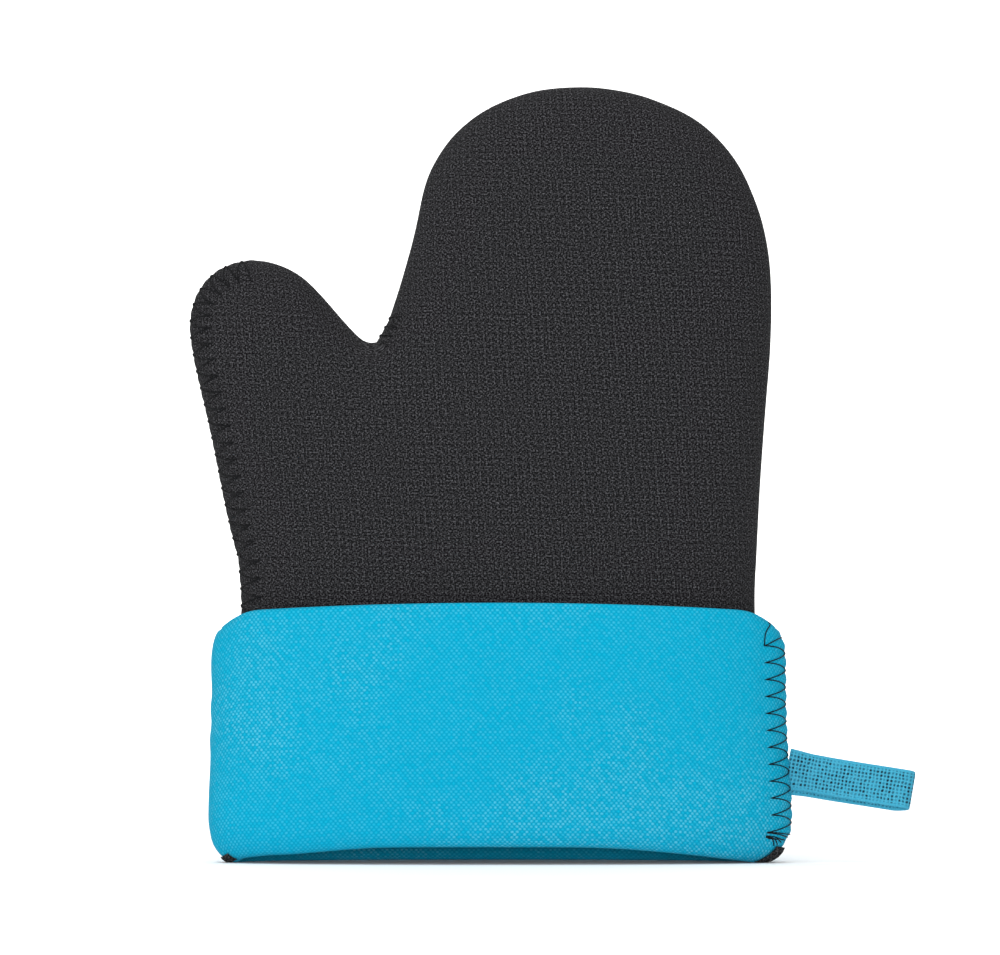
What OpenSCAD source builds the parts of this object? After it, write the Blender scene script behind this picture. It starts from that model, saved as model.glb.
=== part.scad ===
// Quilted oven mitt, standing on its turned-back cuff. Millimetres, +Z up,
// palm side towards -Y, thumb towards -X. The origin is the middle of the
// mouth, on the plane that the fold of the cuff stands on.

/* [Hand] */
// Height from the standing plane to the top of the fingers
mitt_h = 236.5; // [205:0.5:300]
// From the mouth's middle to the little-finger edge at the fingers' bend
palm_reach = 82.5; // [70:0.5:100]
// Height of the crotch between thumb and fingers
crotch_h = 158.8; // [140:0.1:170]
// From the mouth's middle to the crotch, on the thumb's side
crotch_out = 37.5; // [28:0.5:46]
// How far above the crotch the fingers bend
bend_rise = 6.7; // [5:0.1:12]
// From the mouth's middle to the top of the fingers, away from the thumb
tip_shift = 23.8; // [10:0.1:35]
// How far the fingers' thumb-side edge leans in from bend to top
finger_lean = 10.5; // [0:0.1:20]
// Half depth of the hand on the palm side
palm_front = 20; // [15:0.5:30]
// Half depth of the hand on the back
palm_back = 24; // [15:0.5:32]
// How much thinner each half is at the fingers' bend
bend_thin = 1.8; // [0:0.1:4]

/* [Thumb] */
// From the mouth's middle to the tip of the thumb
thumb_out = 79; // [66:0.5:95]
// Height of the top of the thumb
thumb_h = 183.5; // [165:0.5:215]
// How far the thumb's outer edge swells beyond its tip
thumb_swell = 26; // [14:0.5:32]
// How far above the cuff the thumb leaves the wrist
thumb_rise = 12.8; // [6:0.1:24]
// Half depth of the thumb's root on the palm side
thumb_front = 15; // [10:0.5:19]
// Half depth of the thumb's root on the back
thumb_back = 18; // [10:0.5:22]

/* [Plies] */
// Knitted outer shell
shell_t = 1.0; // [0.6:0.1:1.6]
// Insulating foam
foam_t = 1.6; // [1:0.1:3]
// Blue lining
lining_t = 0.8; // [0.5:0.1:1.4]
// Clearance between two plies
ply_gap = 0.1; // [0.05:0.01:0.2]
// Clearance between the front and back panels at their seam
seam_gap = 0.2; // [0.1:0.05:0.6]

/* [Cuff] */
// Width of the turned-back cuff near its fold
cuff_w = 177.2; // [145:0.2:215]
// Height of the cuff's upper edge at its middle
cuff_h = 79.5; // [60:0.5:100]
// How much narrower each side of the cuff is at its upper edge
cuff_taper = 1.4; // [0:0.1:4]
// How far the cuff's upper edge dips towards its sides
rim_dip = 3.2; // [0:0.1:8]
// How far the upper corners are rounded down
rim_corner = 4; // [2:0.5:9]
// How far the upper corners are drawn in towards the wrist
rim_draw = 2.6; // [1:0.1:4.8]
// Air between the cuff and the hand where they fold into each other
fold_air = 1.6; // [1:0.1:4]
// Height of the rounded fold
fold_h = 7; // [5:0.5:12]
// How far the front of the fold arches up from the standing plane
front_arch = 6; // [0:0.1:9]
// How far each corner of the fold is drawn in
fold_draw = 3; // [0:0.1:5]
// How far each side of the wrist draws in from the mouth
wrist_draw = 5.4; // [2:0.1:9]

/* [Hanging loop] */
// Length of the loop beyond the cuff
loop_l = 37; // [25:0.1:60]
// Width of the loop's tape
loop_w = 11.5; // [8:0.5:20]
// Width of the tape where it is sewn in
loop_root_w = 12.5; // [9:0.5:22]
// Thickness of the tape
tape_t = 1.1; // [0.6:0.1:2]
// Gap between the loop's two legs
loop_gap = 5.6; // [4.6:0.1:12]
// Height of the middle of the loop's root
loop_z = 28; // [18:0.5:50]
// How steeply the loop hangs, in degrees
loop_drop = 10; // [0:1:30]

/* [Stitching] */
// Thickness of the overlock thread
thread_d = 0.5; // [0.3:0.05:0.8]
// Clearance between the thread and the cloth under it
thread_lift = 0.2; // [0.1:0.05:0.5]
// Distance from one stitch to the next
stitch_pitch = 5.2; // [4:0.1:8]
// How far a stitch reaches in from the edge, seen from the palm side
stitch_deep = 6.6; // [4:0.1:9]
// Height at which the dense stitches at the cuff's corner begin
backtack_top = 11.5; // [9.5:0.1:14]

/* [Joints] */
// Clearance where the fingers and the thumb bend
joint_gap = 0.5; // [0.3:0.05:1]
// How far a bend's axis stands proud of the palm side
axis_proud = 0.5; // [0.3:0.05:1]
// Clearance between the loop and its sewn root
loop_play = 0.4; // [0.3:0.05:1]

/* [Hidden] */

charcoal = "#313133";
foam_grey = "#8c8c88";
lining_blue = "#29a8d0";
tape_blue = "#3e9ebb";
thread_black = "#0c0c0d";

// Depths of the plies below a panel's outer face, as [from, to].
shell_ply = [0, shell_t];
foam_ply = [shell_t + ply_gap, shell_t + ply_gap + foam_t];
lining_ply = [foam_ply[1] + ply_gap, foam_ply[1] + ply_gap + lining_t];
panel_t = lining_ply[1];
// The cuff is the same panel inside out, so its lining is outermost.
cuff_lining_ply = [0, lining_t];
cuff_foam_ply = [lining_t + ply_gap, lining_t + ply_gap + foam_t];
cuff_shell_ply = [cuff_foam_ply[1] + ply_gap, panel_t];

front = -1;
back = 1;

cuff_half = cuff_w / 2;
hand_inset = panel_t + fold_air; // the hand's outer face, in from the cuff's
mouth_half = cuff_half - hand_inset;
wrist_half = mouth_half - wrist_draw;
bend_h = crotch_h + bend_rise;
foot_h = cuff_h + thumb_rise;
web_slope = 0.5; // how far the fingers' edge runs in for each mm above the crotch
finger_left = crotch_out - web_slope * bend_rise; // thumb-side edge at the bend
foot_flare = 1.4; // how far the wrist has opened again at the thumb's foot
function depth(side) = side < 0 ? palm_front : palm_back;
function thumb_depth(side) = side < 0 ? thumb_front : thumb_back;

// How far the sides are drawn in at a height above the fold's underside.
function draw_in(z) = fold_draw * pow(max(0, 1 - z / (2 * fold_h)), 2);

// The hand's two edges, from the fold up.
function left_edge(z) = -lookup(z, [[fold_h, mouth_half - draw_in(fold_h)], [cuff_h, wrist_half],
    [foot_h, wrist_half + foot_flare]]);
function right_edge(z) = lookup(z, [[fold_h, mouth_half - draw_in(fold_h)], [cuff_h, wrist_half],
    [(cuff_h + bend_h) / 2, (wrist_half + palm_reach) / 2],
    [bend_h, palm_reach]]);

// The thumb's parting line, from its foot on the outer edge to the crotch.
foot = [left_edge(foot_h), foot_h];
crotch = [-crotch_out, crotch_h];
part_mid = (foot + crotch) / 2;
part_half = norm(crotch - foot) / 2;
part_dir = (crotch - foot) / (2 * part_half);
part_out = [-part_dir[1], part_dir[0]]; // towards the thumb

function smooth(t) = let (u = min(1, max(0, t))) u * u * (3 - 2 * u);
function mix(a, b, t) = a + (b - a) * t;
function bezier(p, t) = pow(1 - t, 3) * p[0] + 3 * t * pow(1 - t, 2) * p[1]
    + 3 * t * t * (1 - t) * p[2] + pow(t, 3) * p[3];

// Height of the fold's underside, phi degrees round from the middle of a panel.
arch_foot = 0.38; // cosine of the turn at which the front's arch meets the ground
function hem(side, phi) = side > 0 ? 0
    : front_arch * smooth((cos(phi) - arch_foot) / (1 - arch_foot));
// Height of the cuff's upper edge, which drops round its corners.
corner_start = 0.86; // sine of the turn at which a corner starts
function rim(phi) = let (u = abs(sin(phi))) cuff_h - rim_dip * u * u
    - rim_corner * pow(max(0, u - corner_start) / (1 - corner_start), 2.2);

// A panel between two grids of points that face each other.
module panel(outer, inner, side) {
    rows = len(outer);
    cols = len(outer[0]);
    n = rows * cols;
    function at(i, j) = i * cols + j;
    skin = [for (i = [0:rows - 2], j = [0:cols - 2]) each [
        [at(i, j), at(i, j + 1), at(i + 1, j + 1)], [at(i, j), at(i + 1, j + 1), at(i + 1, j)]]];
    under = [for (f = skin) [f[0] + n, f[2] + n, f[1] + n]];
    border = concat([for (j = [0:cols - 2]) at(0, j)], [for (i = [0:rows - 2]) at(i, cols - 1)],
        [for (j = [cols - 1:-1:1]) at(rows - 1, j)], [for (i = [rows - 1:-1:1]) at(i, 0)]);
    b = len(border);
    wall = [for (k = [0:b - 1]) let (p = border[k], q = border[(k + 1) % b])
        each [[p, p + n, q + n], [p, q + n, q]]];
    faces = concat(skin, under, wall);
    polyhedron([for (r = outer) each r, for (r = inner) each r],
        side < 0 ? [for (f = faces) [f[0], f[2], f[1]]] : faces, convexity = 6);
}

// Hand, fingers, cuff and fold all turn through the same steps, so they meet.
cols = 16;

// One bent row: half an ellipse, or the part of one that starts at a depth.
function bent_row(x0, x1, y0, h, side) =
    let (s = -sqrt(max(0, 1 - pow(y0 / h, 2))), a = (x1 - x0) / (1 - s), from = asin(s))
    [for (j = [0:cols]) let (phi = mix(from, 90, j / cols))
        [x1 - a + a * sin(phi), side * (seam_gap / 2 + h * cos(phi)), phi]];

// The hand from the fold to the fingers' bend, at depth d below its outer face.
wrist_rows = 3;
part_rows = 8;
function hand_h(side, z) = depth(side) - bend_thin * smooth((z - foot_h) / (bend_h - foot_h));
function palm_row(side, z, x0, x1, y0, d) =
    [for (p = bent_row(x0, x1, y0, hand_h(side, z) - d, side))
        [p[0], p[1], z + hem(side, p[2]) * max(0, 1 - (z - fold_h) / (0.5 * cuff_h))]];
function palm_grid(side, d) =
    let (half = part_half - d, lowest = part_mid - half * part_dir)
    concat(
        [for (i = [0:wrist_rows]) let (z = mix(fold_h, cuff_h, i / wrist_rows))
            palm_row(side, z, left_edge(z) + d, right_edge(z) - d, 0, d)],
        [for (i = [0:part_rows]) let (psi = mix(-90, 90, i / part_rows),
                p = part_mid + half * sin(psi) * part_dir)
            palm_row(side, p[1], p[0], right_edge(p[1]) - d,
                (thumb_depth(side) - d) * cos(psi), d)],
        [palm_row(side, bend_h, -finger_left + d, palm_reach - d, 0, d)]);

// The fingers, closing in a dome at the top. Each side rounds off by its power.
dome_rows = 9;
dome_end = 89.7; // degrees, just short of a point
outer_round = 2.4;
inner_round = 2.6;
function fingers_row(side, t, d) =
    let (u = sin(t), keep_z = 1 - d / (mitt_h - bend_h), right = (palm_reach - tip_shift) * pow(1 - pow(u, outer_round), 1 / outer_round),
        left = (finger_left + tip_shift - finger_lean * pow(u, 0.6))
            * pow(1 - pow(u, inner_round), 1 / inner_round),
        half0 = (palm_reach + finger_left) / 2, half = (right + left) / 2,
        mid = tip_shift + (right - left) / 2, keep = 1 - d / half0,
        h = (depth(side) - bend_thin - d) * half / half0)
    [for (p = bent_row(mid - half * keep, mid + half * keep, 0, h, side))
        [p[0], p[1], bend_h + joint_gap + (mitt_h - bend_h - joint_gap) * u * keep_z]];
function fingers_grid(side, d) =
    [for (i = [0:dome_rows]) fingers_row(side, mix(0, dome_end, i / dome_rows), d)];

// The thumb: its outer and inner edges are two curves that meet at the tip.
thumb_rows = 10;
thumb_cols = 14;
thumb_tip = [-thumb_out, thumb_h];
foot_lean = [-8.4, 0.47 * (thumb_h - foot_h)]; // how the outer edge leaves the foot
crotch_lean = [-14.5, 0.17 * (thumb_h - crotch_h)]; // how the inner edge leaves the crotch
tip_run = [25, 1]; // how the inner edge reaches the tip
outer_edge = [foot, foot + foot_lean, thumb_tip + [-thumb_swell, -5], thumb_tip];
inner_edge = [crotch, crotch + crotch_lean, thumb_tip + tip_run, thumb_tip];
round_half = 16; // half width at which the thumb begins to close round its tip
least_depth = 8; // depth below which the plies thin together
thumb_end = 0.997; // just short of a point
thumb_narrow = 0.8; // how the depth follows the width towards the tip
function thumb_h_at(side, half) = thumb_depth(side) * pow(half / part_half, thumb_narrow);
function thumb_row(side, t, d) =
    let (o = bezier(outer_edge, t), i = bezier(inner_edge, t), mid = (o + i) / 2,
        v = (i - o) / 2, half = norm(v), up = [-v[1], v[0]] / half,
        keep = 1 - d / max(half, round_half), sink = sqrt(1 - pow(min(half, round_half) / round_half, 2)),
        full = thumb_h_at(side, half), h = full * (1 - d / max(full, least_depth)),
        c = mid - up * d * sink + part_out * joint_gap * (1 - t))
    [for (j = [0:thumb_cols]) let (phi = mix(-90, 90, j / thumb_cols),
            q = c + v * keep * sin(phi)) [q[0], side * (seam_gap / 2 + h * cos(phi)), q[1]]];
function thumb_t(i) = thumb_end * sin(90 * i / thumb_rows);
function thumb_grid(side, d) = [for (i = [0:thumb_rows]) thumb_row(side, thumb_t(i), d)];

// The turned-back cuff, at depth d below its outer face. It draws in over the
// last two steps of its height.
cuff_steps = [0, 0.45, 0.88, 0.95, 1];
function cuff_half_at(z) = cuff_half - cuff_taper * (z - fold_h) / (cuff_h - fold_h);
function cuff_grid(side, d) = [for (v = cuff_steps) [for (j = [0:cols])
    let (phi = mix(-90, 90, j / cols), z = mix(fold_h + hem(side, phi), rim(phi), v),
        drawn = rim_draw * smooth((v - cuff_steps[2]) / (1 - cuff_steps[2])))
    [(cuff_half_at(z) - d - drawn - draw_in(z - hem(side, phi))) * sin(phi),
     side * (seam_gap / 2 + (depth(side) + hand_inset - d) * cos(phi)), z]]];

// The rounded fold that joins cuff and hand: a U that is swept round the mouth.
fold_steps = 8;
fold_half = panel_t + fold_air / 2;
function fold_grid(side, d) = [for (i = [0:fold_steps]) let (turn = 180 * i / fold_steps)
    [for (j = [0:cols]) let (phi = mix(-90, 90, j / cols),
            off = fold_half - (fold_half - d) * cos(turn),
            drop = fold_h - ply_gap - (fold_h - ply_gap - d) * sin(turn),
            a = cuff_half - off - draw_in(drop), h = depth(side) + hand_inset - off)
        [a * sin(phi), side * (seam_gap / 2 + h * cos(phi)), drop + hem(side, phi)]]];

// A thread of square section along a path. Its section is carried from point to
// point without a twist.
function turned(u, e) = let (v = e - (e * u) * u) v / norm(v);
module thread(path, d = thread_d) {
    n = len(path);
    r = d / sqrt(2);
    way = [for (k = [0:n - 1]) let (t = path[min(n - 1, k + 1)] - path[max(0, k - 1)]) t / norm(t)];
    sides = [for (k = 0, e = turned(way[0], [0, 0, 1]); k < n;
        k = k + 1, e = k < n ? turned(way[k], e) : e) e];
    rings = [for (k = [0:n - 1]) let (e = sides[k], f = cross(way[k], e))
        [for (q = [0:3]) path[k] + r * (cos(90 * q + 45) * e + sin(90 * q + 45) * f)]];
    polyhedron([for (g = rings) each g], concat(
        [for (k = [0:n - 2], q = [0:3]) each [
            [4 * k + q, 4 * k + 4 + q, 4 * k + 4 + (q + 1) % 4],
            [4 * k + q, 4 * k + 4 + (q + 1) % 4, 4 * k + (q + 1) % 4]]],
        [[0, 1, 2, 3], [4 * n - 1, 4 * n - 2, 4 * n - 3, 4 * n - 4]]));
}

// Overlock stitches: a path that crosses the edge and comes back, again and
// again, with a small loop at each turn. at(s, r) gives the point at s along the
// seam and r across the edge, from -1 on the palm side to 1 on the back.
across = [-1, -0.6, -0.25, 0, 0.25, 0.6, 1];
loop_turn = 2; // width of a turn, in threads
turn_reach = 1.035; // how far a turn reaches, against its stitch
function zigzag(at, from, to, count, length) =
    let (legs = 2 * count, wide = min(1, loop_turn * thread_d * legs / length), last = len(across) - 1)
    [for (k = [0:legs - 1]) each concat(
        [for (m = [0:last]) at(mix(from, to, (k + wide / 2 + (1 - wide) * m / last) / legs),
            (k % 2 == 0 ? 1 : -1) * across[m])],
        k < legs - 1 ? [at(mix(from, to, (k + 1) / legs), (k % 2 == 0 ? 1 : -1) * turn_reach)] : [])];
function stitches(length) = max(1, round(length / stitch_pitch));
ride = thread_lift + thread_d / sqrt(2);
stitch_top = mix(fold_h, rim(90), cuff_steps[2]); // where the cuff starts to draw in
function side_of(r) = r < 0 ? front : back;
// How far round an edge of this half width a stitch of this depth reaches.
function reach(half, deep) = acos(max(0.2, 1 - deep / half));

function cuff_stitch(z, r) = let (s = side_of(r), a = cuff_half_at(z), b = r * reach(a, stitch_deep))
    [(a + ride) * cos(b), (seam_gap / 2 + (depth(s) + hand_inset + ride) * abs(sin(b))) * s, z];
function wrist_stitch(z, r) = let (s = side_of(r), x0 = left_edge(z), x1 = right_edge(z),
        a = (x1 - x0) / 2, b = r * reach(a, stitch_deep))
    [(x0 + x1) / 2 - (a + ride) * cos(b), (seam_gap / 2 + (hand_h(s, z) + ride) * abs(sin(b))) * s, z];
function crotch_stitch(z, r) = let (s = side_of(r),
        x0 = mix(-crotch_out, -finger_left, (z - crotch_h) / bend_rise), x1 = right_edge(z),
        a = (x1 - x0) / 2, b = r * reach(a, 0.5 * stitch_deep))
    [(x0 + x1) / 2 - (a + ride) * cos(b), (seam_gap / 2 + (hand_h(s, z) + ride) * abs(sin(b))) * s, z];
// The thumb's stitches lie on the straight rows between its sections.
function thumb_side(i, b, s) = let (o = bezier(outer_edge, thumb_t(i)), p = bezier(inner_edge, thumb_t(i)),
        v = (p - o) / 2, half = norm(v),
        q = (o + p) / 2 + part_out * joint_gap - v * (1 + ride / half) * cos(b))
    [q[0], (seam_gap / 2 + (thumb_h_at(s, half) + ride) * abs(sin(b))) * s, q[1]];
function thumb_stitch(t, r) = let (i = min(thumb_rows - 1, floor(thumb_rows * asin(t / thumb_end) / 90)),
        f = (t - thumb_t(i)) / (thumb_t(i + 1) - thumb_t(i)),
        half = norm(bezier(inner_edge, t) - bezier(outer_edge, t)) / 2,
        b = r * reach(half, stitch_deep))
    mix(thumb_side(i, b, side_of(r)), thumb_side(i + 1, b, side_of(r)), f);

// The tape's root and swing line, just clear of the stitched edge.
root_x = cuff_half_at(loop_z - loop_root_w / 2) + ride + thread_d / sqrt(2) + thread_lift;
root_run = 1.4; // how far the sewn root stands out
round_r = tape_t + 0.1; // the doubled tape's rounded end, at the swing line
pivot_x = root_x + root_run + (round_r + loop_play) / cos(loop_drop);
tape_run = (cuff_half_at(loop_z) + loop_l - pivot_x) / cos(loop_drop);
loop_end_r = loop_gap / 2 + tape_t;

// The end of the overlock at a corner of the cuff, wrapped under the fold.
tab_w = 4.4;
tab_t = 0.7;
module corner_tab(side_x) {
    function under(turn, d) = let (off = fold_half - (fold_half - d) * cos(turn))
        let (z = fold_h - (fold_h - d) * sin(turn)) [side_x * (cuff_half - off - draw_in(z)), z];
    turns = [for (t = [12:8:52]) t];
    translate([0, tab_w / 2, 0]) rotate([90, 0, 0]) linear_extrude(height = tab_w)
        polygon(concat([for (t = turns) under(t, -thread_lift)],
            [for (k = [len(turns) - 1:-1:0]) under(turns[k], -thread_lift - tab_t)]));
}

module palm_ply(side, ply) panel(palm_grid(side, ply[0]), palm_grid(side, ply[1]), side);
module fingers_ply(side, ply) panel(fingers_grid(side, ply[0]), fingers_grid(side, ply[1]), side);
module thumb_ply(side, ply) panel(thumb_grid(side, ply[0]), thumb_grid(side, ply[1]), side);
module cuff_ply(side, ply) panel(cuff_grid(side, ply[0]), cuff_grid(side, ply[1]), side);
module fold_ply(side, ply) panel(fold_grid(side, ply[0]), fold_grid(side, ply[1]), -side);

module palm_shell_front() color(charcoal) palm_ply(front, shell_ply);
module palm_foam_front() color(foam_grey) palm_ply(front, foam_ply);
module palm_lining_front() color(lining_blue) palm_ply(front, lining_ply);
module palm_shell_back() color(charcoal) palm_ply(back, shell_ply);
module palm_foam_back() color(foam_grey) palm_ply(back, foam_ply);
module palm_lining_back() color(lining_blue) palm_ply(back, lining_ply);
module fingers_shell_front() color(charcoal) fingers_ply(front, shell_ply);
module fingers_foam_front() color(foam_grey) fingers_ply(front, foam_ply);
module fingers_lining_front() color(lining_blue) fingers_ply(front, lining_ply);
module fingers_shell_back() color(charcoal) fingers_ply(back, shell_ply);
module fingers_foam_back() color(foam_grey) fingers_ply(back, foam_ply);
module fingers_lining_back() color(lining_blue) fingers_ply(back, lining_ply);
module thumb_shell_front() color(charcoal) thumb_ply(front, shell_ply);
module thumb_foam_front() color(foam_grey) thumb_ply(front, foam_ply);
module thumb_lining_front() color(lining_blue) thumb_ply(front, lining_ply);
module thumb_shell_back() color(charcoal) thumb_ply(back, shell_ply);
module thumb_foam_back() color(foam_grey) thumb_ply(back, foam_ply);
module thumb_lining_back() color(lining_blue) thumb_ply(back, lining_ply);
module cuff_lining_front() color(lining_blue) cuff_ply(front, cuff_lining_ply);
module cuff_foam_front() color(foam_grey) cuff_ply(front, cuff_foam_ply);
module cuff_shell_front() color(charcoal) cuff_ply(front, cuff_shell_ply);
module cuff_lining_back() color(lining_blue) cuff_ply(back, cuff_lining_ply);
module cuff_foam_back() color(foam_grey) cuff_ply(back, cuff_foam_ply);
module cuff_shell_back() color(charcoal) cuff_ply(back, cuff_shell_ply);
module fold_lining_front() color(lining_blue) fold_ply(front, cuff_lining_ply);
module fold_foam_front() color(foam_grey) fold_ply(front, cuff_foam_ply);
module fold_shell_front() color(charcoal) fold_ply(front, cuff_shell_ply);
module fold_lining_back() color(lining_blue) fold_ply(back, cuff_lining_ply);
module fold_foam_back() color(foam_grey) fold_ply(back, cuff_foam_ply);
module fold_shell_back() color(charcoal) fold_ply(back, cuff_shell_ply);

wrist_from = cuff_h - 8; // the wrist's stitches start under the cuff's edge
wrist_to = foot_h - 1.5;
thumb_seam = 1.1 * (thumb_h - foot_h); // about how long the thumb's stitched edge is
module thread_wrist() color(thread_black)
    thread(zigzag(function(s, r) wrist_stitch(s, r), wrist_from, wrist_to,
        stitches(wrist_to - wrist_from), wrist_to - wrist_from));
module thread_thumb() color(thread_black)
    thread(zigzag(function(s, r) thumb_stitch(s, r), 0.03, 0.88, stitches(thumb_seam), thumb_seam));
module thread_crotch() color(thread_black)
    thread(zigzag(function(s, r) crotch_stitch(s, r), crotch_h + 1.2, bend_h - 1.2, 1, bend_rise - 2.4));
module thread_cuff() color(thread_black)
    thread(zigzag(function(s, r) cuff_stitch(s, r), backtack_top + 1.2, stitch_top,
        stitches(stitch_top - backtack_top), stitch_top - backtack_top - 1.2));
module thread_backtack() color(thread_black)
    thread(zigzag(function(s, r) cuff_stitch(s, r), fold_h + 0.6, backtack_top, 3,
        backtack_top - fold_h - 0.6));
module corner_tab_left() color(charcoal) corner_tab(-1);
module corner_tab_right() color(charcoal) corner_tab(1);

module loop_root() color(tape_blue)
    translate([0, tape_t, loop_z]) rotate([90, 0, 0]) linear_extrude(height = 2 * tape_t)
        let (w = loop_root_w / 2, lean = w * tan(loop_drop), x = root_x + root_run)
        polygon([[root_x, -w], [x - lean, -w], [x + lean, w], [root_x, w]]);
module loop_tape() color(tape_blue)
    translate([pivot_x, 0, loop_z]) rotate([0, loop_drop, 0])
    translate([0, 0, -loop_w / 2]) linear_extrude(height = loop_w) difference() {
        hull() {
            circle(r = round_r, $fn = 32);
            translate([tape_run - loop_end_r, 0]) circle(r = loop_end_r, $fn = 40);
        }
        hull() {
            translate([2.2 * loop_end_r, 0]) circle(r = 0.9 * tape_t, $fn = 24);
            translate([tape_run - loop_end_r, 0]) circle(r = loop_gap / 2, $fn = 40);
        }
    }

palm_shell_front();
palm_foam_front();
palm_lining_front();
palm_shell_back();
palm_foam_back();
palm_lining_back();
fingers_shell_front();
fingers_foam_front();
fingers_lining_front();
fingers_shell_back();
fingers_foam_back();
fingers_lining_back();
thumb_shell_front();
thumb_foam_front();
thumb_lining_front();
thumb_shell_back();
thumb_foam_back();
thumb_lining_back();
cuff_lining_front();
cuff_foam_front();
cuff_shell_front();
cuff_lining_back();
cuff_foam_back();
cuff_shell_back();
fold_lining_front();
fold_foam_front();
fold_shell_front();
fold_lining_back();
fold_foam_back();
fold_shell_back();
thread_wrist();
thread_thumb();
thread_crotch();
thread_cuff();
thread_backtack();
corner_tab_left();
corner_tab_right();
loop_root();
loop_tape();
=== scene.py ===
"""Looks of a padded oven mitt with a turned-back blue cuff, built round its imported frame.

Shapes are worked out in millimetres as whole arrays and handed to Blender in metres.
"""

import logging
import math
from dataclasses import dataclass, field
from enum import Enum
from typing import Sequence

import bpy
import numpy as np
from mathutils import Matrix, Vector


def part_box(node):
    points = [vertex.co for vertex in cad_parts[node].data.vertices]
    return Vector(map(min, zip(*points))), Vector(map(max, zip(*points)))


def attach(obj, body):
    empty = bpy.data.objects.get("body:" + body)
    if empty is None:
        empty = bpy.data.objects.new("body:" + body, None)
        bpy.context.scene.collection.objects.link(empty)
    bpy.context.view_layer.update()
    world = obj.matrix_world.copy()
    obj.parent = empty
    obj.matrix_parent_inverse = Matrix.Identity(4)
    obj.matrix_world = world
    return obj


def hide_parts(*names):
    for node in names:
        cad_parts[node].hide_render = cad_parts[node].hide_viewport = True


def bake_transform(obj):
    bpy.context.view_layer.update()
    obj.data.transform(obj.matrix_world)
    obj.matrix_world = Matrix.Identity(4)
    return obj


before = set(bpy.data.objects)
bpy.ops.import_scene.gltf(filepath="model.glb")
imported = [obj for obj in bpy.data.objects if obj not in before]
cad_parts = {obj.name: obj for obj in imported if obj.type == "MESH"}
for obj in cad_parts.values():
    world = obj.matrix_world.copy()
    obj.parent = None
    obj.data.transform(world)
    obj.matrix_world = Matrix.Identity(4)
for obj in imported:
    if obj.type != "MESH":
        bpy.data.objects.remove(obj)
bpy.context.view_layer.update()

log = logging.getLogger("mitt")
MM = 0.001
Values = float | np.ndarray
BATCH = 3000
THREAD_SIDES = 8


class Side(Enum):
    """The two faces of the mitt, by the sign of Y."""

    FRONT = -1
    BACK = 1


class Slot(Enum):
    """Names of the record's material slots; the pieces are not given them."""

    KNIT = "knit_shell"
    LINING = "lining"
    TAPE = "loop_tape"
    THREAD = "overlock_thread"


def smooth(t: np.ndarray) -> np.ndarray:
    """Ease from 0 to 1 as 3 t^2 - 2 t^3, with t clamped to 0..1."""
    u = np.clip(t, 0.0, 1.0)
    return u * u * (3.0 - 2.0 * u)


def mix(a: Values, b: Values, t: Values) -> Values:
    """Blend straight from a at t = 0 to b at t = 1."""
    return a + (b - a) * t


def through(points: Sequence[Sequence[float]], step: float = 0.8, ease: float = 3.0) -> np.ndarray:
    """A smooth curve through chosen points.

    Catmull-Rom pieces are laid through the points, spaced evenly along their length, then
    averaged with a bell-shaped weight so that no bend is sharper than the cloth would take.

    Args:
        points: The chosen points, in millimetres.
        step: Spacing of the result.
        ease: Half width of the averaging, 0 for none.

    Returns:
        The curve as an (n, 2) array, with its two ends kept.
    """
    p = np.asarray(points, float)
    ext = np.vstack([2 * p[0] - p[1], p, 2 * p[-1] - p[-2]])
    a, b, c, d = (ext[k : len(ext) - 3 + k, None] for k in range(4))
    t = np.linspace(0, 1, 24, endpoint=False)[None, :, None]
    fine = 0.5 * (2 * b + (c - a) * t + (2 * a - 5 * b + 4 * c - d) * t**2 + (3 * b - a - 3 * c + d) * t**3)
    fine = np.vstack([fine.reshape(-1, p.shape[1]), p[-1:]])
    s = np.concatenate([[0], np.cumsum(np.linalg.norm(np.diff(fine, axis=0), axis=1))])
    n = max(8, int(s[-1] / step))
    at = np.linspace(0, s[-1], n)
    even = np.stack([np.interp(at, s, fine[:, k]) for k in range(p.shape[1])], 1)
    if ease <= 0:
        return even
    reach = int(round(2.5 * ease / step))
    w = np.exp(-0.5 * (np.arange(-reach, reach + 1) * step / ease) ** 2)
    pad = np.vstack([2 * even[0] - even[reach:0:-1], even, 2 * even[-1] - even[-2 : -reach - 2 : -1]])
    return np.stack([np.convolve(pad[:, k], w / w.sum(), mode="valid") for k in range(p.shape[1])], 1)


@dataclass(frozen=True)
class Sizes:
    """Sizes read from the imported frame, in millimetres."""

    depth: dict
    finger_depth: dict
    reach: float
    tall: float
    cuff: float
    inset: float = 5.2
    panel: float = 3.6
    section: float = 2.4

    @classmethod
    def read(cls) -> "Sizes":
        """Measure the frame's nodes.

        Returns:
            The sizes.
        """
        names = {Side.FRONT: "front", Side.BACK: "back"}

        def deep(node: str, side: Side) -> float:
            """How far a node's outer face stands from the seam's plane."""
            lo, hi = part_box(f"{node}_{names[side]}")
            return (-lo.y if side is Side.FRONT else hi.y) / MM - 0.1

        return cls(
            depth={s: deep("palm_shell", s) for s in Side},
            finger_depth={s: deep("fingers_shell", s) for s in Side},
            reach=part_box("palm_shell_front")[1].x / MM,
            tall=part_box("fingers_shell_front")[1].z / MM,
            cuff=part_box("cuff_lining_front")[1].x / MM + 0.8,
        )


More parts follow.
